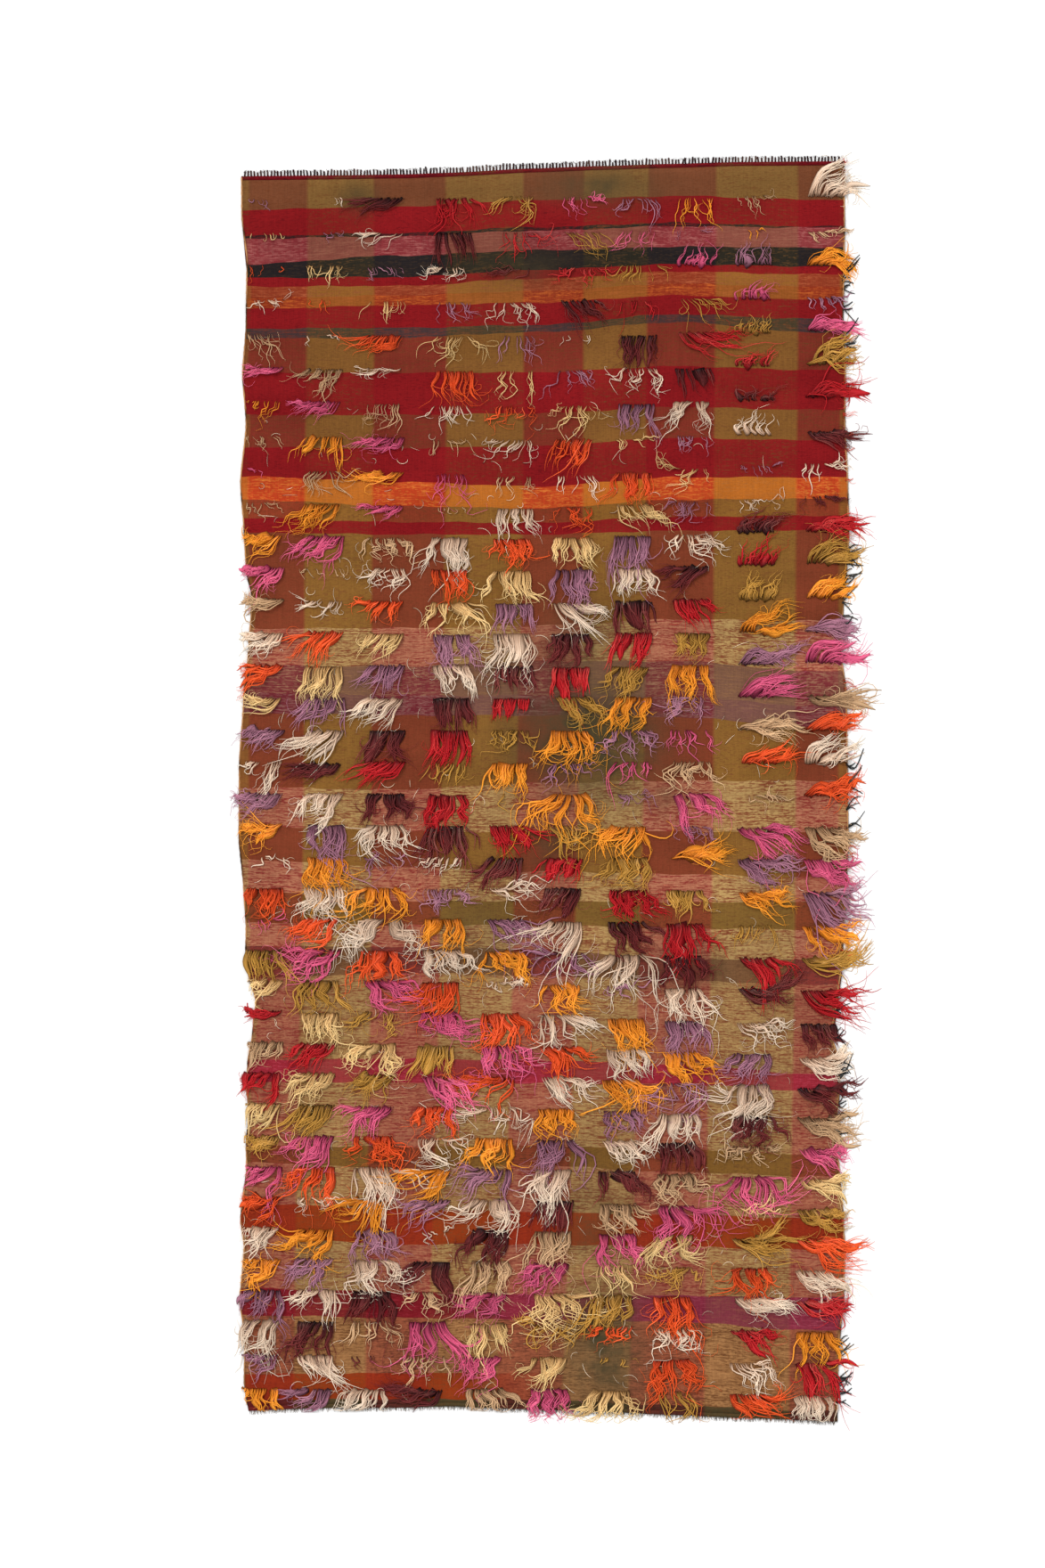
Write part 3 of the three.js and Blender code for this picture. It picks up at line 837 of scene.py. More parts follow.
@dataclass(frozen=True)
class FibreGroup:
    """The node group of spun or combed fibres: root to tip colour, streaks along each lock, dark knots
    painted as shade, and a painted highlight on the brightest locks.
    """

    name: str = "combed fibres"
    fineness: float = 0.85
    stretch: float = 5.0
    grain: float = 0.95
    # How deep the painted shade at the knots is and how closely it keeps to the root
    knot_shade_depth: float = 0.7
    knot_shade_power: float = 11.0
    tip_power: float = 0.6
    # How bright a lock must be to take the painted highlight, how strong that highlight is and its colour
    highlight_from: float = 0.58
    highlight_strength: float = 0.5
    highlight_colour: Colour = linear(255, 232, 196)

    def build(self) -> bpy.types.NodeTree:
        """Builds the group.

        Returns:
            The node tree.
        """
        inputs = {"Along": ("NodeSocketFloat", 0.0), "Across": ("NodeSocketFloat", 0.0),
                  "Shade": ("NodeSocketFloat", 0.5), "Root": ("NodeSocketColor", None),
                  "Tip": ("NodeSocketColor", None), "Spread": ("NodeSocketFloat", 0.2)}
        outputs = {"Color": "NodeSocketColor", "Height": "NodeSocketFloat"}
        n, enter, leave = new_group(self.name, inputs, outputs)
        give = enter.outputs
        strip = n.plus(n.times(give["Across"], self.fineness), n.times(give["Shade"], 91.0))
        reach = n.times(give["Along"], self.stretch)
        place = n.add("ShaderNodeCombineXYZ", {0: strip, 1: reach, 2: n.times(give["Shade"], 37.0)})
        fibres = n.noise(place.outputs[0], 1.0, 3.0, 0.65)
        # The darker root colour near the root is painted shade where the locks crowd at their knots
        colour = n.mix(n.math("POWER", give["Along"], self.tip_power), give["Root"], give["Tip"])
        swing = n.swing(give["Shade"], n.times(give["Spread"], 2.0))
        grain = n.swing(fibres, self.grain)
        # Painted shade along the line of knots, darkest at each lock's root
        from_tip = n.minus(1.0, give["Along"])
        knot = n.times(n.math("POWER", from_tip, self.knot_shade_power), self.knot_shade_depth)
        gain = n.minus(n.plus(n.plus(swing, grain), 1.0), knot)
        # Painted highlight: the brightest locks are mixed towards a pale gleam where their fibres are light
        bright = n.minus(give["Shade"], self.highlight_from)
        highlight_fibres = n.times(n.minus(fibres, 0.42), self.highlight_strength, clamp=True)
        painted_highlight = n.times(n.times(bright, 2.4, clamp=True), highlight_fibres)
        colour = n.mix(painted_highlight, n.brightened(colour, gain), self.highlight_colour)
        n.tree.links.new(colour, leave.inputs["Color"])
        n.tree.links.new(fibres, leave.inputs["Height"])
        return n.tree


@dataclass(frozen=True)
class YarnFinish:
    """The finish of one yarn: darker at the root with painted shade, softly lustrous with a painted highlight
    on its brightest locks, each lock a little different.
    """

    name: str
    look: YarnLook
    fibres: bpy.types.NodeTree
    roughness: float = 0.55
    specular: float = 0.16
    fibre_depth: float = 0.0006

    def build(self) -> bpy.types.Material:
        """Builds the material.

        Returns:
            The material.
        """
        material = bpy.data.materials.new(self.name)
        material.use_nodes = True
        n = Nodes(material.node_tree)
        group = n.add("ShaderNodeGroup", {}, node_tree=self.fibres)
        for key in ("Along", "Across", "Shade"):
            source = n.attribute(key.lower())["Fac"]
            n.tree.links.new(source, group.inputs[key])
        group.inputs["Root"].default_value = (*linear(*self.look.root), 1.0)
        group.inputs["Tip"].default_value = (*linear(*self.look.tip), 1.0)
        group.inputs["Spread"].default_value = self.look.spread
        relief = {"Strength": 0.5, "Distance": self.fibre_depth, "Height": group.outputs["Height"]}
        bump = n.add("ShaderNodeBump", relief)
        return finished(material, n, group.outputs["Color"], bump, self.roughness, self.specular)


@dataclass
class Ground:
    """The woven sheets: the cloth, the header at the top and the last picks at the bottom."""

    finish: bpy.types.Material
    blend: float = 0.004
    edge_line: float = 0.002
    fleck_over_olive: Colour = linear(112, 78, 40)
    fleck_turns: float = 0.5

    def lines(self, first: int, last: int) -> list[tuple[int, float]]:
        """The weft lines that the mesh follows between two boundaries.

        Args:
            first: The first boundary.
            last: The last boundary.

        Returns:
            For each line, its stripe and its share of that stripe's height.
        """
        made = []
        stations = np.array(STATIONS)
        for k in range(first, last):
            tall = float(np.mean(PLAID.weft_line(k, stations) - PLAID.weft_line(k + 1, stations)))
            steps = max(1, round(tall / CELL))
            made += [(k, j / steps) for j in range(steps)]
        return made + [(last - 1, 1.0)]

    def columns(self) -> list[tuple[int, float]]:
        """The warp lines that the mesh follows, close together where two warp stripes meet.

        Returns:
            For each line, its warp stripe and its share of that stripe's width.
        """
        made = []
        rest = np.array([0.0])
        for k in range(len(WARPS)):
            wide = float((PLAID.warp_line(k + 1, rest) - PLAID.warp_line(k, rest))[0])
            steps = max(1, round(wide / CELL))
            near = min(self.blend / wide, 0.3)
            shares = [near + (1 - 2 * near) * j / steps for j in range(steps + 1)]
            made += [(k, share) for share in (0.0, *shares)]
        return made + [(len(WARPS) - 1, 1.0)]

    def redness(self, columns: list[tuple[int, float]]) -> np.ndarray:
        """How red the warp is at each warp line, halfway between two stripes at their common edge.

        Args:
            columns: The warp lines.

        Returns:
            One share for each line.
        """
        red = [WARPS[k][2] for k, _ in columns]
        for j, (k, share) in enumerate(columns):
            if share == 0.0 and k > 0:
                red[j] = (WARPS[k - 1][2] + WARPS[k][2]) / 2
        return np.array(red)

    def places(self, heights: list, columns: list[tuple[int, float]]) -> tuple[np.ndarray, np.ndarray]:
        """Where each crossing of a weft line and a warp line lies.

        Args:
            heights: For each weft line, a function of the place across that gives its height.
            columns: The warp lines.

        Returns:
            The places across and the heights, as lines x columns.
        """
        xs, ys = [], []
        share = np.array([s for _, s in columns])
        for height in heights:
            y0 = height(np.array([0.0]))
            low = np.array([PLAID.warp_line(k, y0)[0] for k, _ in columns])
            high = np.array([PLAID.warp_line(k + 1, y0)[0] for k, _ in columns])
            x = low + (high - low) * share
            y = height(x)
            x[0] = PLAID.left_edge(y)[0]
            x[-1] = PLAID.right_edge(y)[-1]
            xs.append(x)
            ys.append(y)
        return np.array(xs), np.array(ys)

    def sheet(self, name: str, heights: list, stripes: list[Stripe]) -> bpy.types.Object:
        """One woven sheet as a fine grid along its own threads.

        Args:
            name: The name of the piece.
            heights: For each weft line, a function of the place across that gives its height.
            stripes: For each row of faces, the stripe it belongs to.

        Returns:
            The sheet, with its map, colours and thickness.
        """
        columns = self.columns()
        x, y = self.places(heights, columns)
        rows, cols = x.shape
        shape = bmesh.new()
        bmesh.ops.create_grid(shape, x_segments=cols - 1, y_segments=rows - 1, size=1.0)
        mesh = bpy.data.meshes.new(name)
        shape.to_mesh(mesh)
        shape.free()
        flat = np.empty(3 * len(mesh.vertices), np.float32)
        mesh.vertices.foreach_get("co", flat)
        flat = flat.reshape(-1, 3)
        line = np.rint((1 - flat[:, 1]) / 2 * (rows - 1)).astype(int)
        column = np.rint((1 + flat[:, 0]) / 2 * (cols - 1)).astype(int)
        px, py = x[line, column], y[line, column]
        pz = CLOTH_THICKNESS / 2 + PLAID.rise(px, py)
        mesh.vertices.foreach_set("co", np.stack([px, py, pz], -1).astype(np.float32).ravel())
        mesh.polygons.foreach_set("use_smooth", np.ones(len(mesh.polygons), bool))
        mesh.update()
        obj = bpy.data.objects.new(name, mesh)
        bpy.context.scene.collection.objects.link(obj)
        corner = np.empty(len(mesh.loops), np.int32)
        mesh.loops.foreach_get("vertex_index", corner)
        side, end = MAP_MARGINS
        across = (np.mean(x, axis=0) + HALF_WIDTH + side) / (2 * HALF_WIDTH + 2 * side)
        up = np.mean(y, axis=1) / (2 * HALF_LENGTH + 2 * end) + 0.5
        uv = np.stack([across[column[corner]], up[line[corner]]], -1)
        mesh.uv_layers.new(name="woven").data.foreach_set("uv", uv.astype(np.float32).ravel())
        red = self.redness(columns)
        by_face = (line[corner], red[column[corner]], across[column[corner]])
        self.paint(obj, stripes, *(values.reshape(-1, 4) for values in by_face))
        self.soil(obj, px, py)
        mesh.materials.append(self.finish)
        solid = obj.modifiers.new("thickness", "SOLIDIFY")
        solid.thickness = CLOTH_THICKNESS
        solid.offset = 0
        return obj

    def paint(self, obj: bpy.types.Object, stripes: list[Stripe], line: np.ndarray, red: np.ndarray,
              across: np.ndarray) -> None:
        """Writes the ground and fleck colours of each corner of each face.

        Args:
            obj: The sheet.
            stripes: The stripe of each row of faces.
            line: The weft line of each corner, as faces x 4.
            red: How red the warp is at each corner.
            across: The place of each corner on the woven map.
        """
        first = np.array([s.weft.value.numbers() for s in stripes])
        second = np.array([(s.turns_to or s.weft).value.numbers() for s in stripes])
        turns_at = np.array([s.turn for s in stripes])
        row = line.min(1)
        turn = np.clip((across - turns_at[row][:, None]) / TURN_WIDTH + 0.5, 0, 1)[..., None]
        look = first[row][:, None] * (1 - turn) + second[row][:, None] * turn
        over_olive, over_red, fleck = look[..., 0:3], look[..., 3:6], look[..., 6:9]
        red = red[..., None]
        ground = over_olive * (1 - red) + over_red * red
        browned = (1 - red) * self.fleck_turns
        fleck = fleck * (1 - browned) + np.array(self.fleck_over_olive) * browned
        add_attribute(obj, "ground", np.concatenate([ground, look[..., 9:10]], -1).reshape(-1, 4), "CORNER")
        add_attribute(obj, "fleck", np.concatenate([fleck, look[..., 10:11]], -1).reshape(-1, 4), "CORNER")

    def soil(self, obj: bpy.types.Object, x: np.ndarray, y: np.ndarray) -> None:
        """Writes how stained and how near to an edge each point is.

        Args:
            obj: The sheet.
            x: The points' places across.
            y: Their heights.
        """
        stain = np.zeros(len(x))
        for spot in STAINS:
            away = ((x - spot.across) / spot.wide) ** 2 + ((y - spot.up) / spot.tall) ** 2
            stain = np.maximum(stain, spot.depth * np.exp(-away * 1.2))
        add_attribute(obj, "stain", stain)
        near = np.minimum(x - PLAID.left_edge(y), PLAID.right_edge(y) - x)
        add_attribute(obj, "rim", np.exp(-np.maximum(near, 0) / self.edge_line))

    def build(self) -> list[bpy.types.Object]:
        """Builds the three sheets.

        Returns:
            The cloth, the header and the last picks.
        """
        lines = self.lines(0, len(STRIPES) + 1)
        level = (0, 0, 0, 0, 0)
        last_band = Stripe(Weft.DEEP_RED, level, Weft.LAST_BAND, 0.07)

        def between(k: int, share: float):
            """A weft line at a share of the way down one stripe."""
            return lambda x: PLAID.weft_line(k, x) * (1 - share) + PLAID.weft_line(k + 1, x) * share

        named = STRIPES + [last_band]
        heights = [between(k, share) for k, share in lines]
        cloth = self.sheet("kilim_ground", heights, [named[k] for k, _ in lines[:-1]])
        tops = [PLAID.top_edge, lambda x: PLAID.top_edge(x) - STRIP_WIDTH]
        header = self.sheet("header_band", tops, [Stripe(Weft.HEADER, level)])
        lows = [lambda x: PLAID.bottom_edge(x) + STRIP_WIDTH, PLAID.bottom_edge]
        picks = self.sheet("last_picks", lows, [last_band])
        LOG.info("ground with %d faces", len(cloth.data.polygons))
        return [cloth, header, picks]


def tubes(paths: np.ndarray, half: np.ndarray, tall: np.ndarray, sides: int) -> tuple[np.ndarray, np.ndarray]:
    """Closed flattened tubes along many paths at once.

    Args:
        paths: Points of each path, as paths x points x 3.
        half: Half of the width at each point, as paths x points.
        tall: Half of the height at each point, as paths x points.
        sides: Sides of the section.

    Returns:
        The corners and the triangles of all tubes joined.
    """
    count, steps, _ = paths.shape
    way = np.gradient(paths, axis=1)
    way /= np.maximum(np.linalg.norm(way, axis=2, keepdims=True), 1e-9)
    up = np.zeros_like(way)
    up[..., 2] = 1.0
    side = np.cross(up, way)
    side /= np.maximum(np.linalg.norm(side, axis=2, keepdims=True), 1e-6)
    lift = np.cross(way, side)
    turn = (2 * math.pi * np.arange(sides) / sides + math.pi / 2)[None, None, :, None]
    ring = np.cos(turn) * (side * half[..., None])[:, :, None, :]
    ring = ring + np.sin(turn) * (lift * tall[..., None])[:, :, None, :]
    corners = (paths[:, :, None, :] + ring).reshape(-1, 3)
    ids = np.arange(count * steps * sides).reshape(count, steps, sides)
    a, b = ids[:, :-1, :], ids[:, 1:, :]
    a2, b2 = np.roll(a, -1, 2), np.roll(b, -1, 2)
    walls = [np.stack(wall, -1).reshape(-1, 3) for wall in ((a, a2, b2), (a, b2, b))]
    caps = []
    for k in range(1, sides - 1):
        caps.append(np.stack([ids[:, 0, 0], ids[:, 0, k + 1], ids[:, 0, k]], -1))
        caps.append(np.stack([ids[:, -1, 0], ids[:, -1, k], ids[:, -1, k + 1]], -1))
    return corners, np.concatenate([*walls, *caps])


@dataclass
class Strands:
    """Many locks or threads gathered for one piece."""

    sides: int = 3
    parts: list[tuple] = field(default_factory=list)

    def add(self, paths: np.ndarray, half: np.ndarray, tall: np.ndarray, shade: np.ndarray,
            along: np.ndarray | None = None) -> None:
        """Adds locks.

        Args:
            paths: Their points, as locks x points x 3.
            half: Half of their width at each point.
            tall: Half of their height at each point.
            shade: One shade for each lock.
            along: How far along the yarn each point is, or None for an even 0 to 1.
        """
        if along is None:
            along = np.broadcast_to(np.linspace(0, 1, half.shape[1]), half.shape)
        self.parts.append((paths, half, tall, np.broadcast_to(shade[:, None], half.shape), along))

    def thread(self, x: np.ndarray, y: np.ndarray, z: np.ndarray, half: np.ndarray,
               shade: np.ndarray) -> None:
        """Adds one round thread by its points, half widths and shade."""
        self.add(np.stack([x, y, z], -1)[None], half[None], half[None], shade)

    def build(self, name: str, finish: bpy.types.Material) -> bpy.types.Object:
        """Makes the piece.

        Args:
            name: Its name.
            finish: Its material.

        Returns:
            The object.
        """
        paths, half, tall, shade, along = (np.concatenate(kind) for kind in zip(*self.parts))
        points, faces = tubes(paths, half, tall, self.sides)
        obj = mesh_object(name, points, faces)
        turn = 2 * math.pi * np.arange(self.sides) / self.sides + math.pi / 2
        across = np.cos(turn) * half.max(axis=1)[:, None, None] / MILLIMETRE + 0 * half[..., None]
        for key, values in (("along", along), ("shade", shade)):
            add_attribute(obj, key, np.repeat(values.reshape(-1), self.sides))
        add_attribute(obj, "across", across.reshape(-1))
        obj.data.materials.append(finish)
        LOG.info("%s with %d locks and %d triangles", name, len(half), len(faces))
        return obj


@dataclass
class Locks:
    """The numbers of the locks of one tuft, one of each for each lock: where it is knotted and drawn to, its
    heading, bend, hook and sway, how long, wide and high it is, and its shade."""

    knot: np.ndarray
    aim: np.ndarray
    turn: np.ndarray
    bend: np.ndarray
    hook: np.ndarray
    hook_from: np.ndarray
    long: np.ndarray
    sway: np.ndarray
    beat: np.ndarray
    phase: np.ndarray
    half: np.ndarray
    tall: np.ndarray
    layer: np.ndarray
    shade: np.ndarray


@dataclass
class TuftField:
    """All the knotted tufts of the rug, gathered by yarn."""

    fibres: bpy.types.NodeTree
    width: float = 0.092
    knots: int = 14
    clump_knots: float = 2.4
    lock_half: float = 0.0017
    lock_tall: float = 0.001
    hair_half: float = 0.0006
    hair_share: float = 0.42
    more: float = 1.32
    thin: float = 0.00025
    felt_tall: float = 0.0013
    # The felt runs only part way along the colour ramp, so that it keeps the darker root colour as painted
    # shade beneath the locks
    shaded_felt_along: float = 0.7
    curl_share: float = 0.17
    stray_share: float = 0.05
    steps: int = 10
    worn_rows: int = 10
    worn_share: float = 0.66
    felted_yarns: tuple[Yarn, ...] = (Yarn.RED, Yarn.MAROON)
    wild_from: int = 18
    wild: float = 1.3
    past_left: float = 0.026
    past_right: float = 0.09
    past_bottom: float = 0.034
    left_rows_past_edge: tuple[int, ...] = (11, 12, 13, 14, 16, 18, 25, 27, 35)
    seed: int = 7

    def root(self, row: int, column: int) -> tuple[float, float]:
        """The middle of a tuft's line of knots.

        Args:
            row: The row, from the top.
            column: The column, from the left.

        Returns:
            Its place across and up.
        """
        c = COLUMNS[column]
        below = row > MIDDLE_ROW
        share = (row - MIDDLE_ROW) / (ROWS - 1 - MIDDLE_ROW) if below else row / MIDDLE_ROW
        x = c.middle + (c.bottom - c.middle) * share if below else c.top + (c.middle - c.top) * share
        places = [r[0] for r in ROW_LINES]
        middle = np.interp(row, places, [r[2] for r in ROW_LINES])
        edge = np.interp(row, places, [r[1 if x < 0 else 3] for r in ROW_LINES])
        y = middle + (edge - middle) * abs(x) / HALF_WIDTH
        return x + 0.005 * uneven(row, column, 1), float(y) + 0.003 * uneven(row, column, 2)

    def clumps(self, look: LieLook, lean: float, length: float, shade: float,
               rng: np.random.Generator) -> Locks:
        """The clumps of one tuft, each a broad felted lock.

        Args:
            look: How the tuft lies.
            lean: Its own lean.
            length: Its own length.
            shade: Its own shade.
            rng: Where its unevenness comes from.

        Returns:
            The clumps.
        """
        count = max(3, round(self.knots / self.clump_knots)) if look.locks > 8 else 3
        flow, phase, beat = rng.normal(0, 15 * look.curl), rng.uniform(0, 2 * math.pi), rng.uniform(0.9, 1.9)
        edges = np.sort(rng.choice(np.arange(1, self.knots), count - 1, replace=False))
        bounds = np.concatenate([[0], edges, [self.knots]]) / self.knots - 0.5
        mid = (bounds[:-1] + bounds[1:]) / 2
        leading = 0.5 + mid * (1 if lean > 0 else -1)
        turn = lean + 0.7 * look.fan * mid + rng.normal(0, 3 + 4.5 * look.curl + 0.12 * look.fan, count)
        facing = np.maximum(np.abs(np.cos(np.radians(turn))), 0.7)
        zero = np.zeros(count)
        # The felt lies beneath the locks and is painted darker, as the shade between them
        shaded_felt_tone = shade - 0.25 + rng.normal(0, 0.13, count)
        return Locks(
            knot=mid, aim=mid, turn=turn, bend=flow + rng.normal(0, 9 * look.curl, count),
            hook=zero, hook_from=zero + 0.6,
            long=length * (1 + rng.normal(0, 0.17, count)) * (1 - look.taper * leading),
            sway=rng.uniform(0.03, 0.078, count) * look.curl, beat=beat + rng.normal(0, 0.25, count),
            phase=phase + rng.normal(0, 0.6, count),
            half=0.56 * (bounds[1:] - bounds[:-1]) * self.width * facing, tall=zero + self.felt_tall,
            layer=rng.uniform(0, 0.0012, count), shade=shaded_felt_tone,
        )

    def locks(self, look: LieLook, clumps: Locks, count: int, rng: np.random.Generator) -> Locks:
        """The locks and hairs over the clumps of one tuft.

        Args:
            look: How the tuft lies.
            clumps: The clumps that they belong to.
            count: How many there are.
            rng: Where their unevenness comes from.

        Returns:
            The locks.
        """
        place = np.sort(rng.integers(0, self.knots, count))
        u = (place + 0.5) / self.knots - 0.5
        mine = np.abs(u[:, None] - clumps.knot[None, :]).argmin(1)
        own = rng.normal(0, 1, (6, self.knots))[:, place]
        hair = rng.uniform(0, 1, count) < self.hair_share
        curled = rng.uniform(0, 1, count) < self.curl_share * look.curl * np.where(hair, 1.6, 0.7)
        stray = rng.uniform(0, 1, count) < self.stray_share * look.curl
        loose = np.where(stray, 5.0, np.where(hair, 2.2, 1.0))
        longer = np.where(stray, 1.45, np.where(hair, 1.08, 1.0))
        ring = rng.choice([-1.0, 1.0], count) * rng.uniform(110, 250, count)
        half = np.where(hair, self.hair_half, self.lock_half) * rng.uniform(0.7, 1.3, count)
        return Locks(
            knot=u + rng.normal(0, 0.012, count), aim=clumps.knot[mine],
            turn=clumps.turn[mine] + 3.5 * own[0] + rng.normal(0, 2.2, count) * loose,
            bend=clumps.bend[mine] + 6 * look.curl * own[1] + rng.normal(0, 3.5, count) * loose,
            hook=np.where(curled, ring, 11 * look.curl * own[2] + rng.normal(0, 6 * look.curl, count)),
            hook_from=np.where(curled, rng.uniform(0.35, 0.62, count), 0.6),
            long=clumps.long[mine] * rng.uniform(0.7, 1.12, count) * longer,
            sway=clumps.sway[mine] * (1 + 0.25 * own[3]), beat=clumps.beat[mine] + rng.normal(0, 0.1, count),
            phase=clumps.phase[mine] + 0.3 * own[4] + rng.normal(0, 0.2, count),
            half=half, tall=np.where(hair, half, self.lock_tall),
            layer=rng.uniform(0.0006, 0.0042, count) * min(1.0, look.locks / 28),
            # Each lock is lifted back out of the painted shade of its clump
            shade=clumps.shade[mine] + 0.28 + 0.14 * own[5] + rng.normal(0, 0.12, count) + 0.08 * hair,
        )

    def trace(self, locks: Locks, look: LieLook, reach: float) -> tuple[np.ndarray, np.ndarray]:
        """How far each lock runs from the middle of its tuft.

        Args:
            locks: The locks.
            look: How the tuft lies.
            reach: The share of each lock's length that is followed.

        Returns:
            The run across and the run up at each point.
        """
        t = np.linspace(0, reach, self.steps)[None, :]
        swept = min(1.0, abs(look.lean) / 75)
        trailing = np.clip(0.5 - locks.knot * math.copysign(1, look.lean), 0, 1)[:, None]
        if look.lean > 95:
            start = 1.28 + 0.24 * trailing
            ease = start + (0.86 - start) * np.minimum(1, t / (0.3 + 0.28 * trailing))
        else:
            start = 1 - swept * (0.3 + 0.4 * trailing)
            ease = start + (1 + 0.06 * swept * trailing - start) * np.minimum(1, t / (0.24 + 0.2 * trailing))
        late = np.maximum(0, t - locks.hook_from[:, None]) / (1 - locks.hook_from[:, None])
        heading = locks.turn[:, None] * ease + locks.bend[:, None] * t + locks.hook[:, None] * late
        stride = locks.long[:, None] * reach / (self.steps - 1)
        across = np.cumsum(np.sin(np.radians(heading)) * stride, 1)
        up = np.cumsum(-np.cos(np.radians(heading)) * stride, 1)
        way = np.radians(locks.turn)[:, None]
        phase = locks.phase[:, None]
        wave = np.sin(2 * math.pi * locks.beat[:, None] * t + phase) - np.sin(phase)
        wave = wave * (locks.sway * locks.long)[:, None] * np.minimum(1, t * 2.5)
        apart = (locks.knot - locks.aim)[:, None] * self.width
        drawn = apart * look.gather * t**1.7 * np.cos(way)
        run_x = across - across[:, :1] + np.cos(way) * (wave - drawn)
        run_y = up - up[:, :1] + np.sin(way) * (wave - drawn)
        return run_x, run_y

    def held_in(self, x: np.ndarray, y: np.ndarray, row: int, column: int,
                rng: np.random.Generator) -> tuple[np.ndarray, np.ndarray]:
        """Locks drawn back towards their knots where they would reach too far past an edge.

        Args:
            x: Places across, as locks x points.
            y: Heights.
            row: The row of their tuft.
            column: Its column.
            rng: Where their unevenness comes from.

        Returns:
            The places across and the heights.
        """
        loose = rng.uniform(0, 1, len(x))
        past = row in self.left_rows_past_edge and column == 0
        left = self.past_left - 0.022 * loose if past else 0.008 - 0.03 * loose
        right = self.past_right * (0.7 + 0.4 * uneven(row, column, 8)) * (1.1 - 0.7 * loose)
        bottom = self.past_bottom * (0.5 + 0.5 * uneven(row, column, 9)) * (1.1 - 0.6 * loose)
        share = np.ones(len(x))
        for out, allowed in ((PLAID.left_edge(y) - x, left), (x - PLAID.right_edge(y), right),
                             (PLAID.bottom_edge(x) - y, bottom)):
            far = out.max(1)
            from_knot = np.maximum(-out[:, 0], 0.004)
            limit = np.maximum(from_knot + allowed, 0.2 * from_knot) / (from_knot + np.maximum(far, 1e-6))
            share = np.where(far > allowed, np.minimum(share, limit), share)
        down = share if row > ROWS - 4 else np.sqrt(share)
        return x[:, :1] + (x - x[:, :1]) * share[:, None], y[:, :1] + (y - y[:, :1]) * down[:, None]

    def tuft(self, row: int, column: int, rng: np.random.Generator, strands: Strands) -> None:
        """Adds one tuft: its felted clumps, then the locks and hairs over them.

        Args:
            row: The row, from the top.
            column: The column, from the left.
            rng: Where its unevenness comes from.
            strands: Where its locks go.
        """
        look = LIE_OF[LIES[row][column]]
        x0, y0 = self.root(row, column)
        worn = self.worn_share if row < self.worn_rows and column < 9 else 1.0
        look = replace(look, gather=look.gather * (0.85 + 0.35 * uneven(row, column, 10)))
        if worn < 1:
            look = replace(look, length=look.length * 0.88)
        if yarn_at(row, column) in self.felted_yarns and look.locks > 20 and worn == 1:
            look = replace(look, felt=0.95, gather=look.gather * 0.55, curl=look.curl * 0.85)
        if row >= self.wild_from:
            look = replace(look, fan=look.fan + 12, curl=look.curl * self.wild, length=look.length * 1.08)
        lean = look.lean + (18 if row >= self.wild_from else 10) * uneven(row, column, 3)
        length = look.length * (1.02 + 0.24 * uneven(row, column, 4))
        clumps = self.clumps(look, lean, length, 0.5 + 0.2 * uneven(row, column, 6), rng)
        count = max(4, round(self.more * look.locks * worn * (1 + 0.12 * uneven(row, column, 5))))
        groups = [(self.locks(look, clumps, count, rng), 1.0)]
        if look.felt > 0:
            groups.append((clumps, 0.35 + 0.5 * look.felt))
        for locks, reach in groups:
            run_x, run_y = self.trace(locks, look, reach)
            jitter = rng.normal(0, 0.001, len(locks.knot))[:, None]
            x, y = x0 + locks.knot[:, None] * self.width + run_x, y0 + jitter + run_y
            x, y = self.held_in(x, y, row, column, rng)
            t = np.broadcast_to(np.linspace(0, 1, self.steps)[None, :], x.shape)
            if reach == 1.0:
                profile = (1 - t**1.9) ** 0.85 * (0.85 + 0.3 * np.sin(math.pi * np.minimum(1, t * 1.3)))
                rise = rng.uniform(0.0018, 0.0056, len(x))[:, None]
            else:
                profile = (1 - look.gather * t**1.9) * (1 - 0.9 * t**5)
                rise = 0.0012
            half = locks.half[:, None] * profile * worn + self.thin
            tall = locks.tall[:, None] * (0.3 + 0.7 * profile) + self.thin
            tail = 0.35 + 0.65 * np.exp(-np.maximum(0, t - 0.15) / 0.3)
            hump = np.minimum(1, t / 0.12) ** 0.7 * (rise * tail + locks.layer[:, None])
            rest = PLAID.resting_height(x, y)
            z = rest + tall + 0.0002 + hump * np.minimum(1, rest / CLOTH_THICKNESS)
            # The felt keeps to the darker root end of the colour ramp: painted shade beneath the locks
            strands.add(np.stack([x, y, z], -1), half, tall, np.clip(locks.shade, 0, 1),
                        t * reach * (1.0 if reach == 1.0 else self.shaded_felt_along))

    def build(self) -> list[bpy.types.Object]:
        """Builds one piece for each yarn.

        Returns:
            The pieces.
        """
        rng = np.random.default_rng(self.seed)
        gathered = {yarn: Strands() for yarn in Yarn}
        for row in range(ROWS):
            for column in range(len(COLUMNS)):
                self.tuft(row, column, rng, gathered[yarn_at(row, column)])
        made = []
        for yarn, strands in gathered.items():
            name = yarn.name.lower()
            finish = YarnFinish(f"mohair_{name}", yarn.value, self.fibres).build()
            made.append(strands.build(f"tufts_{name}", finish))
        return made


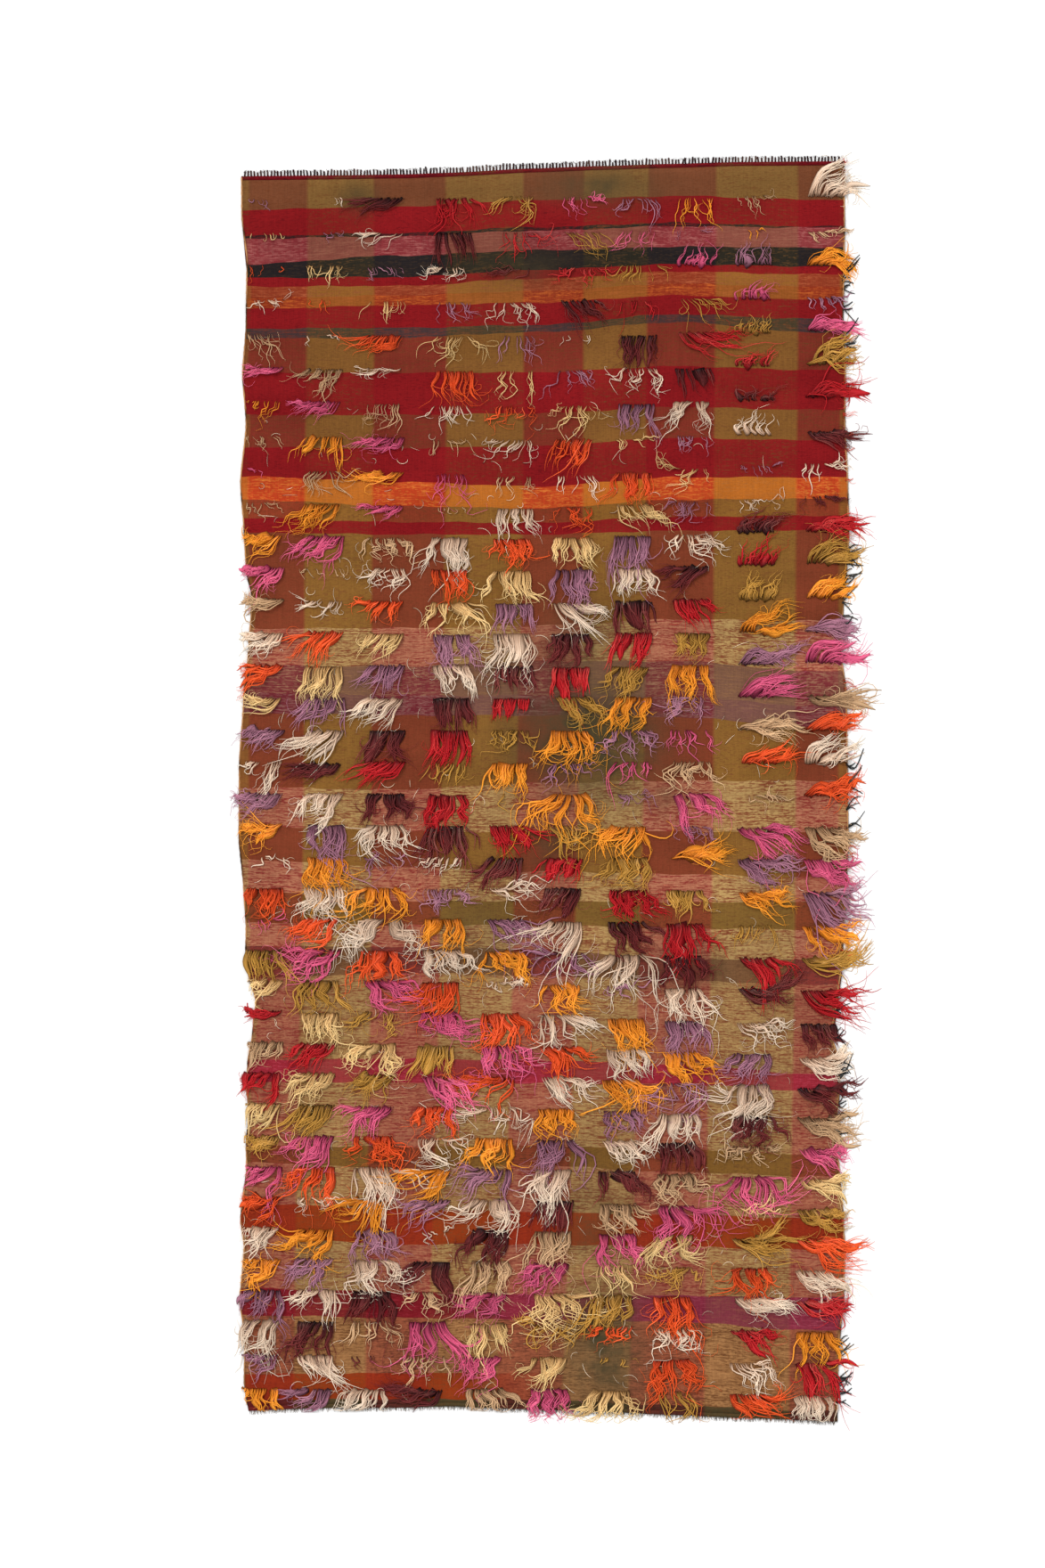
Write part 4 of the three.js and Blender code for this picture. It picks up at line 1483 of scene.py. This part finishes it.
@dataclass
class WarpEnds:
    """The uncut loops of warp at the top and the cut ends at the bottom."""

    spacing: float = 0.0083
    yarn: float = 0.0012
    loop_half: float = 0.0009
    rise: float = 0.0142
    fuzz_count: int = 700
    seed: int = 11

    def loops(self, finish: bpy.types.Material) -> bpy.types.Object:
        """The row of uncut loops.

        Args:
            finish: Its material.

        Returns:
            The piece.
        """
        rng = np.random.default_rng(self.seed)
        gathered = Strands(sides=4)
        left, right = PLAID.span(HALF_LENGTH, 0.004)
        turn = np.linspace(0, math.pi, 6)
        share = np.concatenate([[0.0, 0.5], np.ones(6), [0.5, 0.0]])
        for i in range(int((right - left) / self.spacing)):
            x = left + (i + 0.5) * self.spacing
            base = float(PLAID.top_edge(x)) - 0.002
            rise = self.rise * (1 + 0.12 * rng.normal())
            half = self.loop_half * (1 + 0.2 * rng.uniform(-1, 1))
            crown = rise - half * 0.6
            px = np.concatenate([[-half, -half], -half * np.cos(turn), [half, half]])
            px = px + 0.0012 * rng.normal() * share
            py = np.concatenate([[0, rise * 0.45], crown + half * 0.6 * np.sin(turn), [rise * 0.45, 0]])
            pz = 0.0021 + 0.0008 * np.sin(np.linspace(0, math.pi, len(px))) + 0.0002 * rng.uniform(-1, 1)
            tone = 0.5 + 0.5 * math.sin(i * 0.21 + 1.3 * math.sin(i * 0.053))
            thick = np.full(len(px), self.yarn * rng.uniform(0.8, 1.15))
            shade = np.clip([0.75 * tone + 0.25 * rng.uniform()], 0, 1)
            gathered.thread(x + px, base + py, pz, thick, shade)
        return gathered.build("warp_loops", finish)

    def fuzz(self, finish: bpy.types.Material) -> bpy.types.Object:
        """The fine fuzz along the tops of the loops.

        Args:
            finish: Its material.

        Returns:
            The piece.
        """
        rng = np.random.default_rng(self.seed + 2)
        gathered = Strands()
        t = np.linspace(0, 1, 5)
        for x in rng.uniform(-HALF_WIDTH, HALF_WIDTH, self.fuzz_count):
            base = float(PLAID.top_edge(x)) + self.rise * rng.uniform(0.6, 0.95)
            bend = rng.normal(0, 1.0)
            long = rng.uniform(0.003, 0.007)
            px = x + long * t * math.sin(bend)
            py = base + long * t * math.cos(bend) * 0.5
            half = 0.00045 * (1 - 0.6 * t)
            gathered.thread(px, py, 0.0022 + 0.0008 * t, half, rng.uniform(0, 1, 1))
        return gathered.build("warp_fuzz", finish)

    def cut_ends(self, finish: bpy.types.Material) -> bpy.types.Object:
        """The short cut ends at the bottom.

        Args:
            finish: Its material.

        Returns:
            The piece.
        """
        rng = np.random.default_rng(self.seed + 1)
        gathered = Strands()
        left, right = PLAID.span(-HALF_LENGTH, 0.006)
        t = np.linspace(0, 1, 6)
        for x in np.arange(left, right, self.spacing / 2):
            base = float(PLAID.bottom_edge(x))
            for _ in range(rng.integers(1, 4)):
                long = rng.uniform(0.004, 0.011)
                px = x + rng.normal(0, 0.0012) + rng.normal(0, 0.003) * t * t
                py = base + 0.003 - (long + 0.003) * t
                pz = 0.0017 + 0.0005 * rng.uniform(-1, 1) * t
                half = 0.0007 * (1 - 0.6 * t)
                gathered.thread(px, py, pz, half, rng.uniform(0, 1, 1))
        return gathered.build("warp_cut_ends", finish)


@dataclass(frozen=True)
class Overcast:
    """A stretch of overcast stitches on the right selvedge: its lower and upper end and its stitches."""

    low: float
    high: float
    stitches: int


@dataclass
class SelvedgeYarns:
    """The cords along both selvedges, and overcast stitches, fuzz and loose thread ends at the right one."""

    cord_half: float = 0.0021
    cord_step: float = 0.008
    corner_up: float = 0.013
    thread_half: float = 0.0018
    stretches: tuple[Overcast, ...] = (
        Overcast(1.50, 1.565, 40), Overcast(0.80, 1.09, 90), Overcast(0.06, 0.15, 16),
        Overcast(-0.44, -0.12, 40), Overcast(-1.22, -1.06, 40),
    )
    wisp_places: tuple[float, ...] = (
        1.121, 1.074, 1.029, 1.011, 0.940, 0.884, 0.855, 0.773, 0.269, 0.253, 0.097, -0.146, -0.164, -0.226,
        -0.280, -0.298, -0.405, -0.427, -1.08, -1.14,
    )
    thread_places: tuple[float, ...] = (
        1.297, 1.275, 1.252, 1.208, 1.134, 1.116, 0.590, 0.567, 0.539, 0.512, 0.470, 0.434, 0.064, 0.014,
        -0.050, -0.097, -0.556, -0.563, -0.621, -0.692, -0.715, -0.728, -0.759, -0.788, -0.826, -0.866,
        -1.395, -1.413, -1.475, -1.491, -1.509, -1.531,
    )
    seed: int = 23

    def cords(self, finish: bpy.types.Material) -> bpy.types.Object:
        """The two doubled warps that the wefts turn round at the selvedges.

        Args:
            finish: Their material.

        Returns:
            The piece.
        """
        gathered = Strands(sides=5)
        y = np.arange(-HALF_LENGTH + 0.012, HALF_LENGTH - 0.012, self.cord_step)
        for x in (PLAID.left_edge(y) + self.cord_half / 2, PLAID.right_edge(y) - self.cord_half / 2):
            half = self.cord_half * (1 + 0.18 * np.sin(y * 410) + 0.12 * np.sin(y * 173))
            z = np.maximum(PLAID.rise(x, y) + CLOTH_THICKNESS / 2, half + CLEAR_OF_FLOOR)
            gathered.add(np.stack([x, y, z], -1)[None], half[None], half[None], np.array([0.5]),
                         (0.5 + 0.5 * np.sin(y * 47 + 2 * np.sin(y * 19)))[None])
        return gathered.build("selvedge_cords", finish)

    def overcast(self, finish: bpy.types.Material) -> bpy.types.Object:
        """The overcast stitches and fuzz, and the knot at the top corner.

        Args:
            finish: Their material.

        Returns:
            The piece.
        """
        rng = np.random.default_rng(self.seed)
        gathered = Strands()
        t = np.linspace(0, 1, 7)
        stitches = [(y, rng.uniform(0.0005, 0.004)) for stretch in self.stretches
                    for y in rng.uniform(stretch.low, stretch.high, stretch.stitches)]
        wisps = [(y, rng.uniform(0.008, 0.034)) for y in np.repeat(self.wisp_places, 4)]
        for y, reach in stitches + wisps:
            edge = float(PLAID.right_edge(y))
            px = edge - 0.006 + (reach + 0.006) * t
            py = y + rng.normal(0, 0.004) + rng.normal(0, 0.3) * reach * t
            py = py + 0.15 * reach * np.sin(t * 6 + 90 * y)
            half = rng.uniform(0.0006, 0.0012) * (1 - 0.6 * t)
            pz = np.maximum(0.0062 - 0.0052 * t, half + CLEAR_OF_FLOOR)
            gathered.thread(px, py, pz, half, rng.uniform(0, 1, 1))
        top = HALF_LENGTH + 0.012
        corner = float(PLAID.right_edge(top))
        for _ in range(26):
            bend = rng.uniform(-0.7, 0.7)
            long = rng.uniform(0.008, self.corner_up + 0.008)
            px = corner - 0.004 + long * np.sin(bend) * t
            py = top - 0.004 + long * np.cos(bend) * t
            half = rng.uniform(0.0008, 0.0016) * (1 - 0.6 * t)
            gathered.thread(px, py, 0.0042 - 0.0024 * t, half, rng.uniform(0, 0.6, 1))
        return gathered.build("edge_overcast", finish)

    def thread_ends(self, finish: bpy.types.Material) -> bpy.types.Object:
        """The dark thread ends.

        Args:
            finish: Their material.

        Returns:
            The piece.
        """
        rng = np.random.default_rng(self.seed + 1)
        gathered = Strands(sides=4)
        t = np.linspace(0, 1, 8)
        for y in np.repeat(self.thread_places, 3):
            edge = float(PLAID.right_edge(y))
            reach = rng.uniform(0.014, 0.042)
            rise = rng.normal(0.35, 0.6)
            bow = rng.normal(0, 0.25)
            px = edge - 0.004 + (reach + 0.004) * t
            py = y + rng.normal(0, 0.003) + reach * (rise * t + bow * np.sin(math.pi * t))
            half = self.thread_half * rng.uniform(0.7, 1.2) * (1 - 0.45 * t**2)
            pz = np.maximum(0.0048 - 0.004 * t, half + CLEAR_OF_FLOOR)
            gathered.thread(px, py, pz, half, rng.uniform(0, 1, 1))
        return gathered.build("edge_thread_ends", finish)


@dataclass
class LooseHairs:
    """Pale hairs that have worked out of the tufts and lie curled on the cloth."""

    count: int = 420
    shortest: float = 0.012
    longest: float = 0.048
    half: float = 0.0007
    spread_across: float = 0.05
    spread_down: float = 0.07
    first_row: int = 6
    curl: float = 2.2
    steps: int = 7
    seed: int = 31

    def build(self, tufts: TuftField, finish: bpy.types.Material) -> bpy.types.Object:
        """Builds the hairs.

        Args:
            tufts: The tufts that they come from.
            finish: Their material.

        Returns:
            The piece.
        """
        rng = np.random.default_rng(self.seed)
        rows = rng.integers(self.first_row, ROWS, self.count)
        columns = rng.integers(0, len(COLUMNS) - 1, self.count)
        roots = np.array([tufts.root(int(row), int(column)) for row, column in zip(rows, columns)])
        x = roots[:, :1] + rng.normal(0, self.spread_across, (self.count, 1))
        y = roots[:, 1:] - rng.uniform(0, self.spread_down, (self.count, 1))
        t = np.linspace(0, 1, self.steps)[None, :]
        long = rng.uniform(self.shortest, self.longest, (self.count, 1))
        heading = rng.uniform(0, 2 * math.pi, (self.count, 1))
        heading = heading + self.curl * rng.normal(0, 1, (self.count, 1)) * t
        stride = long / (self.steps - 1)
        x = x + np.cumsum(np.cos(heading) * stride, 1)
        y = y + np.cumsum(np.sin(heading) * stride, 1)
        inside = (x > PLAID.left_edge(y)) & (x < PLAID.right_edge(y)) & (y > PLAID.bottom_edge(x) + PART_GAP)
        kept = inside.all(1)
        half = self.half * rng.uniform(0.7, 1.2, (self.count, 1)) * (1 - 0.6 * t**2)
        z = PLAID.resting_height(x, y) + half + CLEAR_OF_FLOOR + 0.0022 * np.sin(math.pi * t)
        gathered = Strands()
        shade = rng.uniform(0, 1, self.count)
        gathered.add(np.stack([x, y, z], -1)[kept], half[kept], half[kept], shade[kept])
        return gathered.build("loose_hairs", finish)


@dataclass
class Studio:
    """The pale floor, the soft lights and the camera straight above."""

    photo_height: float = 3.925
    centre: tuple[float, float] = (-0.052, 0.0145)
    lens: float = 90.0
    sensor: float = 36.0

    def floor(self) -> None:
        """A wide pale floor."""
        mesh = bpy.data.meshes.new("studio_floor")
        obj = bpy.data.objects.new("studio_floor", mesh)
        bpy.context.scene.collection.objects.link(obj)
        shape = bmesh.new()
        bmesh.ops.create_grid(shape, x_segments=2, y_segments=2, size=12.0)
        shape.to_mesh(mesh)
        shape.free()
        material = bpy.data.materials.new("studio_white")
        material.use_nodes = True
        n = Nodes(material.node_tree)
        shader = n.add("ShaderNodeBsdfPrincipled", {"Base Color": (0.8, 0.8, 0.8, 1), "Roughness": 0.9,
                                                    "Specular IOR Level": 0.1})
        n.tree.links.new(shader.outputs[0], n.add("ShaderNodeOutputMaterial").inputs[0])
        mesh.materials.append(material)

    def lights(self) -> None:
        """An even sky and one soft lamp from the upper left."""
        world = bpy.data.worlds.new("studio_sky")
        bpy.context.scene.world = world
        world.use_nodes = True
        world.node_tree.nodes["Background"].inputs["Color"].default_value = (1.0, 1.0, 1.0, 1)
        world.node_tree.nodes["Background"].inputs["Strength"].default_value = 0.92
        lamp = bpy.data.lights.new("soft_lamp", "SUN")
        lamp.energy = 2.15
        lamp.angle = math.radians(25)
        obj = bpy.data.objects.new("soft_lamp", lamp)
        obj.rotation_euler = (math.radians(-38), math.radians(-28), 0)
        bpy.context.scene.collection.objects.link(obj)

    def camera(self) -> None:
        """The camera, looking straight down with the warp loops at the top of the picture."""
        lens = bpy.data.cameras.new("above")
        lens.lens = self.lens
        lens.sensor_width = self.sensor
        lens.clip_end = 100
        obj = bpy.data.objects.new("above", lens)
        height = self.photo_height / 2 / (self.sensor / 2 / self.lens)
        obj.location = (*self.centre, height)
        bpy.context.scene.collection.objects.link(obj)
        bpy.context.scene.camera = obj

    def build(self) -> None:
        """Builds the studio."""
        self.floor()
        self.lights()
        self.camera()
        bpy.context.scene.view_settings.view_transform = "Standard"


def place(pieces: list[bpy.types.Object], node: str, slot: str) -> None:
    """Makes pieces ride on the rug and stand for a node, which is hidden.

    Args:
        pieces: The pieces.
        node: The node they replace.
        slot: Not used.
    """
    for piece in pieces:
        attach(piece, "root")
        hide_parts(node)


class TrimYarn(Enum):
    """The yarns of the warp and the edges."""

    WARP = YarnLook((30, 29, 22), (58, 20, 22), 0.6)
    CUT_WARP = YarnLook((60, 44, 32), (104, 84, 62), 0.7)
    OVERCAST = YarnLook((190, 44, 24), (216, 74, 40), 0.3)
    SLATE = YarnLook((18, 20, 22), (34, 37, 39), 0.3)
    HAIR = YarnLook((204, 164, 124), (250, 236, 212), 0.4)
    CORD = YarnLook((112, 72, 40), (178, 130, 84), 0.3)

    def finish(self, fibres: bpy.types.NodeTree, roughness: float) -> bpy.types.Material:
        """The yarn's material.

        Args:
            fibres: The node group of combed fibres.
            roughness: How matt it is.

        Returns:
            The material.
        """
        return YarnFinish(f"{self.name.lower()}_yarn", self.value, fibres, roughness).build()


def main() -> None:
    """Builds the rug, attaches its pieces to the rug's body and sets up the studio."""
    logging.basicConfig(level=logging.INFO, format="%(message)s")
    fibres = FibreGroup().build()
    cloth, header, picks = Ground(GroundFinish("woven_ground", WeaveGroup().build()).build()).build()
    field_of_tufts = TuftField(fibres)
    tufts = field_of_tufts.build()
    ends = WarpEnds()
    warp = TrimYarn.WARP.finish(fibres, 0.9)
    loops = ends.loops(warp)
    fuzz = ends.fuzz(warp)
    cuts = ends.cut_ends(TrimYarn.CUT_WARP.finish(fibres, 0.9))
    edge = SelvedgeYarns()
    cords = edge.cords(TrimYarn.CORD.finish(fibres, 0.9))
    overcast = edge.overcast(TrimYarn.OVERCAST.finish(fibres, 0.7))
    threads = edge.thread_ends(TrimYarn.SLATE.finish(fibres, 0.8))
    hairs = LooseHairs().build(field_of_tufts, TrimYarn.HAIR.finish(fibres, 0.6))
    on_cloth = [*tufts, cords, overcast, threads, hairs]
    place([cloth, *on_cloth], "kilim_cloth", "tufted_cloth")
    place([header, loops, fuzz], "warp_loops_top", "warp_loops")
    place([picks, cuts], "warp_ends_bottom", "warp_ends")
    Studio().build()
    bpy.context.view_layer.update()


if __name__ == "__main__":
    main()
